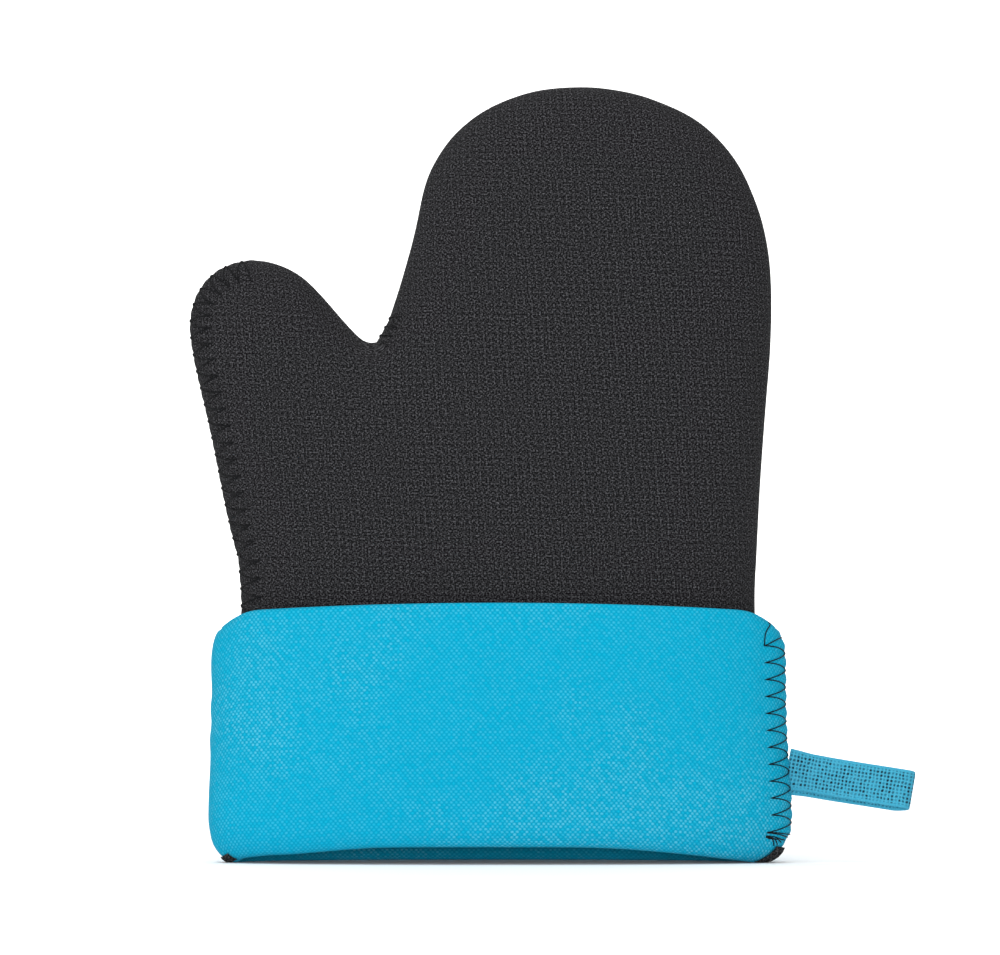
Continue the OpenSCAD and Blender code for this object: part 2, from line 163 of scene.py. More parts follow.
@dataclass
class Pattern:
    """The cut of the panels: the mitt's outline from the palm side, and its rounded depth."""

    sizes: Sizes
    bend: float = 165.5
    foot: np.ndarray = field(default_factory=lambda: np.array([-79.6, 92.3]))
    crotch: np.ndarray = field(default_factory=lambda: np.array([-37.6, 158.7]))
    spread: float = 45.0
    cell: float = 2.0

    def __post_init__(self) -> None:
        """Lay the outline and solve the depth field."""
        scale = np.array([self.sizes.reach / 82.5, self.sizes.tall / 236.5])
        self.foot, self.crotch = self.foot * scale, self.crotch * scale
        self.middle = (self.foot + self.crotch) / 2
        run = self.crotch - self.foot
        self.along = run / np.linalg.norm(run)
        self.out = np.array([-self.along[1], self.along[0]])
        self.right = through(
            np.array([(83.2, -70), (82.6, 7), (79.8, 42), (77.6, 76), (78.2, 95), (79.2, 115),
                      (80.6, 135), (82.2, 155), (82.6, 166.0)]) * scale)
        self.left = through(
            np.array([(-83.2, -70), (-82.8, 7), (-80.4, 42), (-78.7, 76), (-79.6, 92.3)]) * scale)
        self.tip = through(
            np.array([(82.6, 165.5), (82.6, 175), (81.6, 187), (78.4, 200), (71.5, 214.5), (60.4, 226),
                      (46, 232.9), (34.5, 235.7), (23.8, 236.5), (10, 235.1), (-3.5, 230), (-13.4, 222.5),
                      (-19.6, 214), (-23, 206), (-26, 192), (-29.8, 178), (-33.8, 165.5)]) * scale, ease=2.0)
        self.web = through(np.array([(-37.6, 158.7), (-35.9, 161.6), (-33.8, 165.5)]) * scale, ease=0)
        self.thumb = through(
            np.array([(-79.6, 92.3), (-82, 101.5), (-84.4, 112.5), (-86.5, 123.4), (-88.8, 134.4),
                      (-91.4, 145.5), (-93.4, 155), (-94.4, 164), (-92.8, 172), (-88.6, 178.4),
                      (-82.6, 182.2), (-74.6, 183.7), (-66.6, 182), (-59.8, 178.2), (-53.6, 172),
                      (-47.8, 165.3), (-43, 160.2), (-40.2, 158.3), (-37.6, 158.7)]) * scale, ease=1.6)
        self.edge = np.vstack([self.right[:-1], self.tip[:-1], self.web[::-1][:-1], self.thumb[::-1][:-1],
                               self.left[::-1]])
        self._solve()

    def _nearest(self, p: np.ndarray) -> tuple[np.ndarray, np.ndarray]:
        """Distance and way to the outline.

        Args:
            p: Points, (n, 2).

        Returns:
            The distance of each point from the outline and the unit vector from it to there.
        """
        a, b = self.edge[:-1], self.edge[1:]
        ab = b - a
        gap, way = np.empty(len(p)), np.empty_like(p)
        for k in range(0, len(p), BATCH):
            q = p[k : k + BATCH, None]
            t = np.clip(((q - a) * ab).sum(2) / np.maximum((ab**2).sum(1), 1e-12), 0, 1)
            v = a + t[..., None] * ab - q
            d = np.sqrt((v**2).sum(2))
            i = d.argmin(1)
            rows = np.arange(len(i))
            gap[k : k + BATCH] = d[rows, i]
            way[k : k + BATCH] = v[rows, i] / np.maximum(d[rows, i], 1e-6)[:, None]
        return gap, way

    def _inside(self, p: np.ndarray) -> np.ndarray:
        """Which points lie within the outline, by the even-odd rule.

        Args:
            p: Points, (n, 2).

        Returns:
            True where inside.
        """
        a, b = self.edge, np.roll(self.edge, -1, 0)
        x, z = p[:, 0:1], p[:, 1:2]
        over = (a[:, 1] > z) != (b[:, 1] > z)
        with np.errstate(divide="ignore", invalid="ignore"):
            cross = a[:, 0] + (z - a[:, 1]) * (b[:, 0] - a[:, 0]) / (b[:, 1] - a[:, 1])
        return (over & (x < cross)).sum(1) % 2 == 1

    def _solve(self) -> None:
        """Solve how far the panels stand apart, as a sheet stretched over the outline.

        The field H obeys del^2 H - H / L^2 = -1 / L^2 inside and is 0 on the outline. It is kept as
        H over the distance from the outline, which stays smooth right up to the edge.
        """
        self.x0, self.z0 = -112.0, -64.0
        nx, nz = int(212 / self.cell), int(312 / self.cell)
        gx, gz = np.meshgrid(self.x0 + self.cell * np.arange(nx), self.z0 + self.cell * np.arange(nz))
        p = np.stack([gx.ravel(), gz.ravel()], 1)
        inside = self._inside(p).reshape(gx.shape)
        gap = self._nearest(p)[0].reshape(gx.shape)
        k = (self.cell / self.spread) ** 2
        h = np.zeros_like(gx)
        for _ in range(3500):
            around = h[:-2, 1:-1] + h[2:, 1:-1] + h[1:-1, :-2] + h[1:-1, 2:]
            h[1:-1, 1:-1] = np.where(inside[1:-1, 1:-1], (around + k) / (4 + k), 0)
        known = inside & (gap > 2.2 * self.cell)
        ratio = np.where(known, h / np.maximum(gap, 0.1), 0)
        for _ in range(14):
            w, v = np.zeros_like(ratio), np.zeros_like(ratio)
            for dz, dx in ((1, 0), (-1, 0), (0, 1), (0, -1)):
                w += np.roll(known, (dz, dx), (0, 1))
                v += np.roll(np.where(known, ratio, 0), (dz, dx), (0, 1))
            fresh = ~known & (w > 0)
            ratio = np.where(fresh, v / np.maximum(w, 1), ratio)
            known = known | fresh
        self.ratio = ratio
        self.full = 1 - 1 / math.cosh(80 / self.spread)

    def halves(self, z: np.ndarray) -> tuple[np.ndarray, np.ndarray]:
        """The hand's two edges at a height below the fingers' bend.

        Args:
            z: Heights.

        Returns:
            Left x and right x.
        """
        left = np.vstack([self.left, [[self.foot[0] - 1.5, 110]]])
        web = np.interp(z, self.web[:, 1], self.web[:, 0])
        x0 = np.where(z < self.crotch[1] - 1e-6, np.interp(z, left[:, 1], left[:, 0]), web)
        return x0, np.interp(z, self.right[:, 1], self.right[:, 0])

    def lift(self, p: np.ndarray, side: Side) -> np.ndarray:
        """How far the outer face stands from the seam's plane.

        Low down, the section is a rounded oval, y = b sqrt(1 - u^n). Higher up it is a circle's
        rise over the stretched field, y = b sqrt(1 - (1 - H / H0)^2).

        Args:
            p: Points, (n, 2).
            side: Which face.

        Returns:
            The distance, at least 0.
        """
        gap = self._nearest(p)[0]
        fx = np.clip((p[:, 0] - self.x0) / self.cell, 0, self.ratio.shape[1] - 1.001)
        fz = np.clip((p[:, 1] - self.z0) / self.cell, 0, self.ratio.shape[0] - 1.001)
        i, j = fz.astype(int), fx.astype(int)
        u, v = fx - j, fz - i
        r = self.ratio
        rate = mix(mix(r[i, j], r[i, j + 1], u), mix(r[i + 1, j], r[i + 1, j + 1], u), v)
        share = np.clip(rate * gap / self.full, 0, 1)
        high = np.sqrt(1 - (1 - share) ** 2)
        x0, x1 = self.halves(np.minimum(p[:, 1], self.foot[1]))
        u = np.clip(np.abs(p[:, 0] - (x0 + x1) / 2) / ((x1 - x0) / 2), 0, 1)
        low = np.sqrt(1 - u**self.sizes.section)
        body = mix(low, high, smooth((p[:, 1] - 78) / 42))
        beyond = ((p - self.middle) @ self.out) / 54
        b = mix(self.sizes.depth[side], self.sizes.finger_depth[side], smooth((p[:, 1] - self.foot[1]) / 80))
        return b * body * (1 + 0.14 * smooth(beyond * 1.3))

    def cloth(self, p: np.ndarray) -> np.ndarray:
        """Where a point of the face lies on the flat cloth, so that a knit keeps its size round the edge.

        Points are moved out towards the edge by the extra length that the surface has there.

        Args:
            p: Points, (n, 2).

        Returns:
            Flat positions, (n, 2).
        """
        gap, way = self._nearest(p)
        d = np.linspace(0, 60, 600)
        y = 18 * np.sqrt(1 - (1 - np.clip(d / 45, 0, 1)) ** 2)
        slope = np.gradient(y, d)
        extra = np.sqrt(1 + slope**2) - 1
        more = np.cumsum(extra[::-1])[::-1] * (d[1] - d[0])
        return p + way * np.interp(gap, d, more)[:, None]


@dataclass
class Lobe:
    """Rows that cross a rounded end of the hand, from its base line to its tip."""

    curve: np.ndarray
    base: np.ndarray
    up: np.ndarray
    rows: int
    cols: int

    def __post_init__(self) -> None:
        """Split the curve at its farthest point."""
        h = (self.curve - self.base) @ self.up
        side = np.array([self.up[1], -self.up[0]])
        t = (self.curve - self.base) @ side
        top = int(h.argmax())
        self.top = float(h[top])
        angle = np.arcsin(np.clip(h / self.top, 0, 1))
        self.side = side
        self.arms = [(np.maximum.accumulate(angle[: top + 1]), t[: top + 1]),
                     (np.maximum.accumulate(angle[top:][::-1]), t[top:][::-1])]

    def span(self, angle: np.ndarray) -> tuple[np.ndarray, np.ndarray]:
        """The two ends of a row.

        Args:
            angle: Row position, whose sine is the height over the base.

        Returns:
            Both ends' positions along the base line, the lower first.
        """
        ends = np.sort(np.stack([np.interp(angle, a, t) for a, t in self.arms]), 0)
        return ends[0], ends[1]

    def plan(self) -> np.ndarray:
        """Row points on the flat pattern.

        Returns:
            An array of (rows + 1, cols + 1, 2).
        """
        angle = np.linspace(0, math.pi / 2, self.rows + 1)
        lo, hi = self.span(angle)
        turn = np.linspace(-math.pi / 2, math.pi / 2, self.cols + 1)
        t = (lo + hi)[:, None] / 2 + (hi - lo)[:, None] / 2 * np.sin(turn)
        t[-1] = t[-1].mean()
        h = self.top * np.sin(angle)[:, None]
        return self.base + t[..., None] * self.side + h[..., None] * self.up

    def locate(self, p: np.ndarray) -> tuple[np.ndarray, np.ndarray]:
        """Find points of the pattern in the rows.

        Args:
            p: Points, (n, 2).

        Returns:
            Row and column positions.
        """
        h, t = (p - self.base) @ self.up, (p - self.base) @ self.side
        angle = np.arcsin(np.clip(h / self.top, 0, 0.9999))
        lo, hi = self.span(angle)
        u = np.clip((t - (lo + hi) / 2) / np.maximum((hi - lo) / 2, 1e-6), -1, 1)
        return angle / (math.pi / 2) * self.rows, (np.arcsin(u) / math.pi + 0.5) * self.cols


@dataclass
class Palm:
    """Rows that cross the hand from the fold up to the fingers' bend."""

    pattern: Pattern
    part_rows: int
    cols: int

    def __post_init__(self) -> None:
        """Choose the rows and where each starts and ends."""
        pt = self.pattern
        turn = np.linspace(-1, 1, self.part_rows + 1)
        w = 0.5 + 0.5 * mix(turn, np.sin(turn * math.pi / 2), 0.85)
        part = pt.foot + w[:, None] * (pt.crotch - pt.foot)
        part[0], part[-1] = pt.foot, pt.crotch
        low = np.concatenate([np.linspace(7, 68, 9), np.linspace(68, pt.foot[1], 23)[1:-1]])
        high = np.linspace(pt.crotch[1], pt.bend, 7)[1:]
        self.z = np.concatenate([low, part[:, 1], high])
        x0, self.x1 = pt.halves(self.z)
        x0[len(low) : len(low) + len(part)] = part[:, 0]
        self.x0, self.part_start = x0, len(low)
        self.part_end = len(low) + self.part_rows
        starts = np.stack([x0, self.z], 1)
        open_rows = slice(self.part_start, self.part_end + 1)
        share = np.zeros(len(self.z))
        lifted = sum(pt.lift(starts[open_rows], s) / pt.sizes.depth[s] for s in Side) / 2
        lifted[0] = lifted[-1] = 0
        share[open_rows] = np.clip(lifted, 0, 0.985)
        self.start = np.arcsin(-np.sqrt(1 - share**2))

    def plan(self) -> np.ndarray:
        """Row points on the flat pattern.

        Returns:
            An array of (rows, cols + 1, 2).
        """
        k = np.linspace(0, 1, self.cols + 1)
        turn = mix(self.start[:, None], math.pi / 2, k)
        low = np.sin(self.start)[:, None]
        x = mix(self.x0[:, None], self.x1[:, None], (np.sin(turn) - low) / (1 - low))
        return np.stack([x, np.broadcast_to(self.z[:, None], x.shape)], 2)

    def locate(self, p: np.ndarray) -> tuple[np.ndarray, np.ndarray]:
        """Find points of the pattern in the rows.

        Args:
            p: Points, (n, 2).

        Returns:
            Row and column positions.
        """
        row = np.interp(p[:, 1], self.z, np.arange(len(self.z)))
        x0, x1, start = (np.interp(row, np.arange(len(self.z)), a) for a in (self.x0, self.x1, self.start))
        low = np.sin(start)
        u = np.clip(low + (p[:, 0] - x0) / (x1 - x0) * (1 - low), -1, 1)
        return row, (np.arcsin(u) - start) / (math.pi / 2 - start) * self.cols


def sample(grid: np.ndarray, row: np.ndarray, col: np.ndarray) -> np.ndarray:
    """Read a grid of points between its rows and columns.

    Args:
        grid: Points, (rows, cols, k).
        row: Row positions.
        col: Column positions.

    Returns:
        The values there, blended along both ways.
    """
    i = np.clip(row, 0, grid.shape[0] - 1.0001).astype(int)
    j = np.clip(col, 0, grid.shape[1] - 1.0001).astype(int)
    u, v = (np.clip(col - j, 0, 1))[:, None], (np.clip(row - i, 0, 1))[:, None]
    return mix(mix(grid[i, j], grid[i, j + 1], u), mix(grid[i + 1, j], grid[i + 1, j + 1], u), v)


@dataclass
class Skin:
    """Grids of points joined where their points coincide."""

    grids: list
    flips: list

    def __post_init__(self) -> None:
        """Join the grids and find their faces and normals."""
        flat = np.concatenate([g.reshape(-1, 3) for g in self.grids])
        _, first, index = np.unique(flat, axis=0, return_index=True, return_inverse=True)
        self.points, index = flat[first], index.ravel()
        self.maps, at, quads = [], 0, []
        for g, flip in zip(self.grids, self.flips):
            m = index[at : at + g.shape[0] * g.shape[1]].reshape(g.shape[:2])
            at += m.size
            self.maps.append(m)
            q = np.stack([m[:-1, :-1], m[:-1, 1:], m[1:, 1:], m[1:, :-1]], 2).reshape(-1, 4)
            quads.append(q[:, ::-1] if flip else q)
        self.quads = np.concatenate(quads)
        self.normals = self.find_normals()

    def find_normals(self) -> np.ndarray:
        """Outward unit normals at the joined points.

        Returns:
            The mean of the faces' normals by area, (n, 3).
        """
        p = self.points[self.quads]
        n = np.cross(p[:, 2] - p[:, 0], p[:, 3] - p[:, 1])
        out = np.zeros_like(self.points)
        for k in range(4):
            np.add.at(out, self.quads[:, k], n)
        return out / np.maximum(np.linalg.norm(out, axis=1), 1e-9)[:, None]

    def on(self, k: int, values: np.ndarray) -> np.ndarray:
        """Values at the joined points, one row for each, laid out as grid k."""
        return values[self.maps[k]]


def make_mesh(name: str, points: np.ndarray, quads: np.ndarray, cloth: np.ndarray | None = None,
              normals: np.ndarray | None = None) -> bpy.types.Object:
    """Make a mesh object from arrays.

    Args:
        name: The piece's name.
        points: Points in millimetres, (n, 3).
        quads: Faces, (m, 4), where a repeated corner makes a triangle.
        cloth: Flat position of each point in millimetres, for the weave.
        normals: Unit normals to shade with.

    Returns:
        The object, linked to the scene.
    """
    same = quads == np.roll(quads, -1, 1)
    count = same.sum(1)
    whole = quads[count == 0]
    thin = quads[count == 1]
    keep = ~same[count == 1]
    tris = thin[keep].reshape(-1, 3)
    mesh = bpy.data.meshes.new(name)
    mesh.from_pydata((points * MM).tolist(), [], whole.tolist() + tris.tolist())
    mesh.polygons.foreach_set("use_smooth", np.ones(len(mesh.polygons), bool))
    if cloth is not None:
        corner = np.empty(len(mesh.loops), np.int32)
        mesh.loops.foreach_get("vertex_index", corner)
        layer = mesh.uv_layers.new(name="cloth")
        layer.uv.foreach_set("vector", cloth[corner].astype(np.float32).ravel())
    mesh.update()
    if normals is not None:
        mesh.normals_split_custom_set_from_vertices(normals.tolist())
    obj = bpy.data.objects.new(name, mesh)
    bpy.context.scene.collection.objects.link(obj)
    return obj


def thicken(name: str, points: np.ndarray, quads: np.ndarray, normals: np.ndarray, depth: float,
            cloth: np.ndarray | None = None, shade: bool = True) -> bpy.types.Object:
    """Give a face its thickness and close its open edges.

    Args:
        name: The piece's name.
        points: Points of the outer face, in millimetres.
        quads: Its faces.
        normals: Unit normals at the points.
        depth: Thickness, measured inwards.
        cloth: Flat position of each point.
        shade: Whether to shade with the given normals.

    Returns:
        The closed piece.
    """
    used, quads = np.unique(quads, return_inverse=True)
    quads = quads.reshape(-1, 4)
    points, normals = points[used], normals[used]
    n = len(points)
    edges = np.stack([quads, np.roll(quads, -1, 1)], 2).reshape(-1, 2)
    edges = edges[edges[:, 0] != edges[:, 1]]
    key = np.sort(edges, 1) @ np.array([n, 1])
    _, index, count = np.unique(key, return_inverse=True, return_counts=True)
    rim = edges[count[index.ravel()] == 1]
    wall = np.stack([rim[:, 1], rim[:, 0], rim[:, 0] + n, rim[:, 1] + n], 1)
    faces = np.concatenate([quads, quads[:, ::-1] + n, wall])
    flat = None if cloth is None else np.concatenate([cloth[used], cloth[used]])
    both = np.concatenate([points, points - normals * depth])
    return make_mesh(name, both, faces, flat, np.concatenate([normals, -normals]) if shade else None)


@dataclass
class Inflate:
    """A short cloth simulation that lets pressure fill a sewn face."""

    pressure: float = 4.0
    cap: float = 2.4
    frames: int = 20

    def run(self, skin: Skin, held: np.ndarray) -> np.ndarray:
        """Blow the cloth out from inside and stop.

        Args:
            skin: The joined face.
            held: Which points are sewn down.

        Returns:
            How far each point moves, in millimetres, no more than the cap.
        """
        obj = make_mesh("inflating", skin.points, skin.quads)
        group = obj.vertex_groups.new(name="held")
        group.add(np.flatnonzero(held).tolist(), 1.0, "REPLACE")
        cloth = obj.modifiers.new("cloth", "CLOTH")
        s = cloth.settings
        s.quality = 6
        s.mass = 0.4
        s.tension_stiffness = s.compression_stiffness = 20
        s.shear_stiffness = 12
        s.bending_stiffness = 2
        s.air_damping = 4
        s.use_pressure = True
        s.uniform_pressure_force = self.pressure
        s.effector_weights.gravity = 0
        s.vertex_group_mass = "held"
        cloth.collision_settings.use_collision = False
        scene = bpy.context.scene
        cloth.point_cache.frame_start, cloth.point_cache.frame_end = 1, self.frames
        for f in range(1, self.frames + 1):
            scene.frame_set(f)
        shaped = obj.evaluated_get(bpy.context.evaluated_depsgraph_get())
        moved = np.empty(len(skin.points) * 3, np.float32)
        shaped.data.vertices.foreach_get("co", moved)
        move = moved.reshape(-1, 3) / MM - skin.points
        scene.frame_set(1)
        bpy.data.objects.remove(obj)
        far = np.linalg.norm(move, axis=1)
        log.info("cloth moved %.2f mm on average, %.2f mm at most", far.mean(), far.max())
        move[~np.isfinite(far)] = 0
        return move * (self.cap * np.tanh(far / self.cap) / np.maximum(far, 1e-9))[:, None]


def refine(coarse: np.ndarray, step: int) -> np.ndarray:
    """Lay a coarse grid of moves on a finer one.

    Args:
        coarse: Moves, (r, c, 3).
        step: How many fine rows and columns there are to each coarse one.

    Returns:
        The moves, (r', c', 3), straight between the coarse ones and then averaged with their
        neighbours, with the outermost rows and columns kept.
    """
    rows, cols = (coarse.shape[0] - 1) * step + 1, (coarse.shape[1] - 1) * step + 1
    r, c = np.meshgrid(np.arange(rows) / step, np.arange(cols) / step, indexing="ij")
    fine = sample(coarse, r.ravel(), c.ravel()).reshape(rows, cols, 3)
    for _ in range(2 * step):
        inner = fine[1:-1, 1:-1]
        near = fine[:-2, 1:-1] + fine[2:, 1:-1] + fine[1:-1, :-2] + fine[1:-1, 2:]
        fine[1:-1, 1:-1] = 0.5 * inner + 0.125 * near
    return fine


def tube(paths: Sequence[tuple[np.ndarray, np.ndarray]], radius: float) -> tuple[np.ndarray, np.ndarray]:
    """Round threads along paths, turned by the cloth's normals.

    Each ring is path + radius (cos a N + sin a T x N), for evenly spaced angles a.

    Args:
        paths: For each thread, its points and the cloth's normals there, in millimetres.
        radius: Half the thread's thickness.

    Returns:
        Points and faces, closed at both ends.
    """
    sides = THREAD_SIDES
    around = np.arange(sides) * (2 * math.pi / sides)
    points, quads, base = [], [], 0
    for path, normal in paths:
        t = np.gradient(path, axis=0)
        t /= np.maximum(np.linalg.norm(t, axis=1), 1e-9)[:, None]
        n = normal - (normal * t).sum(1)[:, None] * t
        n /= np.maximum(np.linalg.norm(n, axis=1), 1e-9)[:, None]
        b = np.cross(t, n)
        turned = np.cos(around)[:, None] * n[:, None] + np.sin(around)[:, None] * b[:, None]
        ring = path[:, None] + radius * turned
        count = len(path)
        i, j = np.meshgrid(np.arange(count - 1), np.arange(sides), indexing="ij")
        k, this = (j + 1) % sides, base + i * sides
        following = this + sides
        quads.append(np.stack([this + j, this + k, following + k, following + j], 2).reshape(-1, 4))
        ends = [ring[0].mean(0), ring[-1].mean(0)]
        points += [ring.reshape(-1, 3), np.array(ends)]
        a, e = base + count * sides, np.arange(sides)
        f = (e + 1) % sides
        last = a - sides
        quads.append(np.stack([base + f, base + e, np.full(sides, a), np.full(sides, a)], 1))
        quads.append(np.stack([last + e, last + f, np.full(sides, a + 1), np.full(sides, a + 1)], 1))
        base += count * sides + 2
    return np.concatenate(points), np.concatenate(quads)


@dataclass(frozen=True)
class Stitch:
    """An overlock stitch: legs run from an inner hole out to the edge and back."""

    pitch: float = 5.2
    deep: float = 6.6
    bow: float = 1.9
    puff: float = 1.0
    samples: int = 14

    def legs(self, count: int) -> tuple[np.ndarray, np.ndarray]:
        """The zigzag of one face.

        Args:
            count: How many stitches.

        Returns:
            Distance along the seam and in from the edge, for every point of the thread. One leg is
            bowed, the next is straight.
        """
        t = np.linspace(0, 1, self.samples, endpoint=False)
        s = np.concatenate([0.5 * t**self.bow, 0.5 + 0.5 * t])
        d = np.concatenate([1 - t, t])
        s = (np.arange(count)[:, None] + s).ravel()
        return np.append(s, count) * self.pitch, np.append(np.tile(d, count), 1) * self.deep

    def relief(self, s: np.ndarray, d: np.ndarray) -> np.ndarray:
        """How the cloth puffs up between its stitches.

        Args:
            s: Distance along the seam from an inner hole.
            d: Distance in from the edge.

        Returns:
            Outward move: -cos of the position along the pitch near the edge, and a shallow groove
            under the inner holes.
        """
        near = np.exp(-((d / (0.55 * self.deep)) ** 2))
        waves = -0.26 * np.cos(2 * math.pi * (s / self.pitch - 0.5)) * near
        hollow = 0.55 + 0.45 * np.cos(2 * math.pi * s / self.pitch)
        groove = 0.36 * hollow * np.exp(-(((d - self.deep) / 0.8) ** 2))
        return (waves - groove + 0.10 * near) * self.puff


@dataclass
class Hand:
    """The padded hand: palm, fingers and thumb, outer knit and inner lining."""

    STEP = 2
    STITCH = Stitch(puff=0.45)
    LIFT = 0.22
    THREAD = 0.19
    KNIT = 2.6
    LINING = 0.8
    BOND = 0.2

    pattern: Pattern

    def __post_init__(self) -> None:
        """Lay the rows of the hand."""
        pattern = self.pattern
        self.palm = Palm(pattern, 40, 96)
        self.fingers = Lobe(pattern.tip, np.array([0.0, pattern.bend]), np.array([0.0, 1.0]), 56, 96)
        self.thumb = Lobe(pattern.thumb, pattern.middle, pattern.out, 144, 40)
        self.seam_s = np.concatenate([[0], np.cumsum(np.linalg.norm(np.diff(self._seam(), axis=0), axis=1))])

    def _seam(self) -> np.ndarray:
        """The stitched edge, from inside the cuff up the wrist and round to the thumb's top.

        Returns:
            Its line on the pattern.
        """
        wrist = self.pattern.left[self.pattern.left[:, 1] > 70]
        thumb = self.pattern.thumb
        top = int(thumb[:, 1].argmax())
        return np.vstack([wrist[:-1], thumb[: top + 6]])

    def build(self) -> None:
        """Shape the faces, fill them and make the four pieces."""
        pt = self.pattern
        plans = [self.palm.plan(), self.fingers.plan(), self.thumb.plan()]
        plans[1][0] = plans[0][-1]
        part = slice(self.palm.part_start, self.palm.part_end + 1)
        plans[2][0] = plans[0][part, 0]
        grids, flips = [], []
        for side in Side:
            ends = []
            for k, plan in enumerate(plans):
                y = pt.lift(plan.reshape(-1, 2), side).reshape(plan.shape[:2]) * side.value
                if k:
                    y = self._round_tip(y)
                y[:, -1] = 0
                if k:
                    y[:, 0] = 0
                    y[-1] = 0
                else:
                    y[: part.start + 1, 0] = 0
                    y[part.stop - 1 :, 0] = 0
                ends.append(np.stack([plan[..., 0], y, plan[..., 1]], 2))
            ends[1][0] = ends[0][-1]
            ends[2][0] = ends[0][part, 0]
            grids += ends
            flips += [side is Side.BACK] * 3
        coarse = Skin([g[:: self.STEP, :: self.STEP] for g in grids], flips)
        p = coarse.points
        held = (np.abs(p[:, 1]) < 1e-6) | (p[:, 2] < 80)
        move = Inflate().run(coarse, held)
        self.grids = [g + refine(coarse.on(k, move), self.STEP) for k, g in enumerate(grids)]
        self._match(part)
        self._sew()
        self._match(part)
        self.skin = Skin(self.grids, flips)
        self.normal_grids = [self.skin.on(k, self.skin.normals) for k in range(6)]
        self._pieces()

    @staticmethod
    def _round_tip(y: np.ndarray) -> np.ndarray:
        """Close the last rows of a lobe as ovals, y = y0 cos t.

        The outline is too near to measure from there.

        Args:
            y: The lobe's lifts, (rows, cols).

        Returns:
            The lifts, eased into the ovals over the last rows.
        """
        rows, cols = y.shape
        turn = np.linspace(-math.pi / 2, math.pi / 2, cols)
        share = smooth((np.linspace(0, 1, rows) - 0.72) / 0.2)[:, None]
        return mix(y, y[:, cols // 2 : cols // 2 + 1] * np.cos(turn), share)

    def _match(self, part: slice) -> None:
        """Make the grids agree again along their shared lines.

        Args:
            part: The palm's rows that meet the thumb.
        """
        for k in (0, 3):
            palm, fingers, thumb = self.grids[k : k + 3]
            fingers[0] = palm[-1]
            thumb[0] = palm[part, 0]
            fingers[-1] = fingers[-1].mean(0)
            thumb[-1] = thumb[-1].mean(0)
        for front, back in zip(self.grids[:3], self.grids[3:]):
            back[:, -1] = front[:, -1]
        for k in (1, 2):
            self.grids[k + 3][:, 0] = self.grids[k][:, 0]
            self.grids[k + 3][-1] = self.grids[k][-1]
        palm, under = self.grids[0], self.grids[3]
        under[: part.start + 1, 0] = palm[: part.start + 1, 0]
        under[part.stop - 1 :, 0] = palm[part.stop - 1 :, 0]
        self.grids[5][0] = under[part, 0]
        self.grids[4][0] = under[-1]
        self.grids[5][0, 0], self.grids[5][0, -1] = self.grids[2][0, 0], self.grids[2][0, -1]

    def _sew(self) -> None:
        """Puff the cloth between the stitches of the thumb's edge, and add faint unevenness."""
        seam = self._seam()
        normals = Skin(self.grids, [False] * 3 + [True] * 3)
        for k, g in enumerate(self.grids):
            p = g[..., [0, 2]].reshape(-1, 2)
            d = np.full(len(p), 99.0)
            s = np.zeros(len(p))
            near = np.flatnonzero((p[:, 0] < -52) & (p[:, 1] > 66))
            for a in range(0, len(near), BATCH):
                part = near[a : a + BATCH]
                gap = np.linalg.norm(p[part, None] - seam[None], axis=2)
                i = gap.argmin(1)
                d[part], s[part] = gap[np.arange(len(part)), i], self.seam_s[i]
            ends = smooth(s / 4) * smooth((self.seam_s[-1] - s) / 6)
            out = self.STITCH.relief(s, d) * ends * (d < 14)
            x, z = p[:, 0], p[:, 1]
            soft = 0.35 * np.sin(x / 17 + 1.2 * np.sin(z / 31)) * np.sin(z / 23 + 0.8) + 0.2 * np.sin(
                (x + z) / 9.5 + 2 * np.sin(x / 21))
            gap = self.pattern._nearest(p)[0]
            out = out + soft * smooth(gap / 22) * smooth((z - 84) / 14)
            n = normals.on(k, normals.normals)
            self.grids[k] = g + n * out.reshape(g.shape[:2])[..., None]

    def _pieces(self) -> None:
        """Make the knit and the lining, each in a hand part and a thumb part."""
        skin = self.skin
        sizes = [(g.shape[0] - 1) * (g.shape[1] - 1) for g in self.grids]
        starts = np.cumsum([0] + sizes)
        hand = np.concatenate([skin.quads[starts[k] : starts[k + 1]] for k in (0, 1, 3, 4)])
        thumb = np.concatenate([skin.quads[starts[k] : starts[k + 1]] for k in (2, 5)])
        cloth = self.pattern.cloth(skin.points[:, [0, 2]])
        knit, lining = self.KNIT, self.LINING
        inner = skin.points - skin.normals * (knit + self.BOND)
        self.knit_hand = thicken("knit_hand", skin.points, hand, skin.normals, knit, cloth)
        self.knit_thumb = thicken("knit_thumb", skin.points, thumb, skin.normals, knit, cloth)
        self.lining_hand = thicken("lining_hand", inner, hand, skin.normals, lining, cloth)
        self.lining_thumb = thicken("lining_thumb", inner, thumb, skin.normals, lining, cloth)
        for obj in (self.knit_hand, self.knit_thumb, self.lining_hand, self.lining_thumb):
            obj["layer"] = obj.name.split("_")[0]

    def surface(self, p: np.ndarray, side: Side) -> tuple[np.ndarray, np.ndarray]:
        """Points and normals of the finished outer face.

        Args:
            p: Points of the pattern, (n, 2).
            side: Which face.

        Returns:
            The points and unit normals, in millimetres.
        """
        first = 0 if side is Side.FRONT else 3
        out, normal = np.empty((len(p), 3)), np.empty((len(p), 3))
        beyond = (p - self.pattern.middle) @ self.pattern.out > 0
        thumb = beyond & (p[:, 0] < self.pattern.crotch[0])
        high = ~thumb & (p[:, 1] > self.pattern.bend)
        regions = (~thumb & ~high, self.palm), (high, self.fingers), (thumb, self.thumb)
        for k, (here, region) in enumerate(regions):
            if here.any():
                row, col = region.locate(p[here])
                out[here] = sample(self.grids[first + k], row, col)
                normal[here] = sample(self.normal_grids[first + k], row, col)
        return out, normal / np.maximum(np.linalg.norm(normal, axis=1), 1e-9)[:, None]

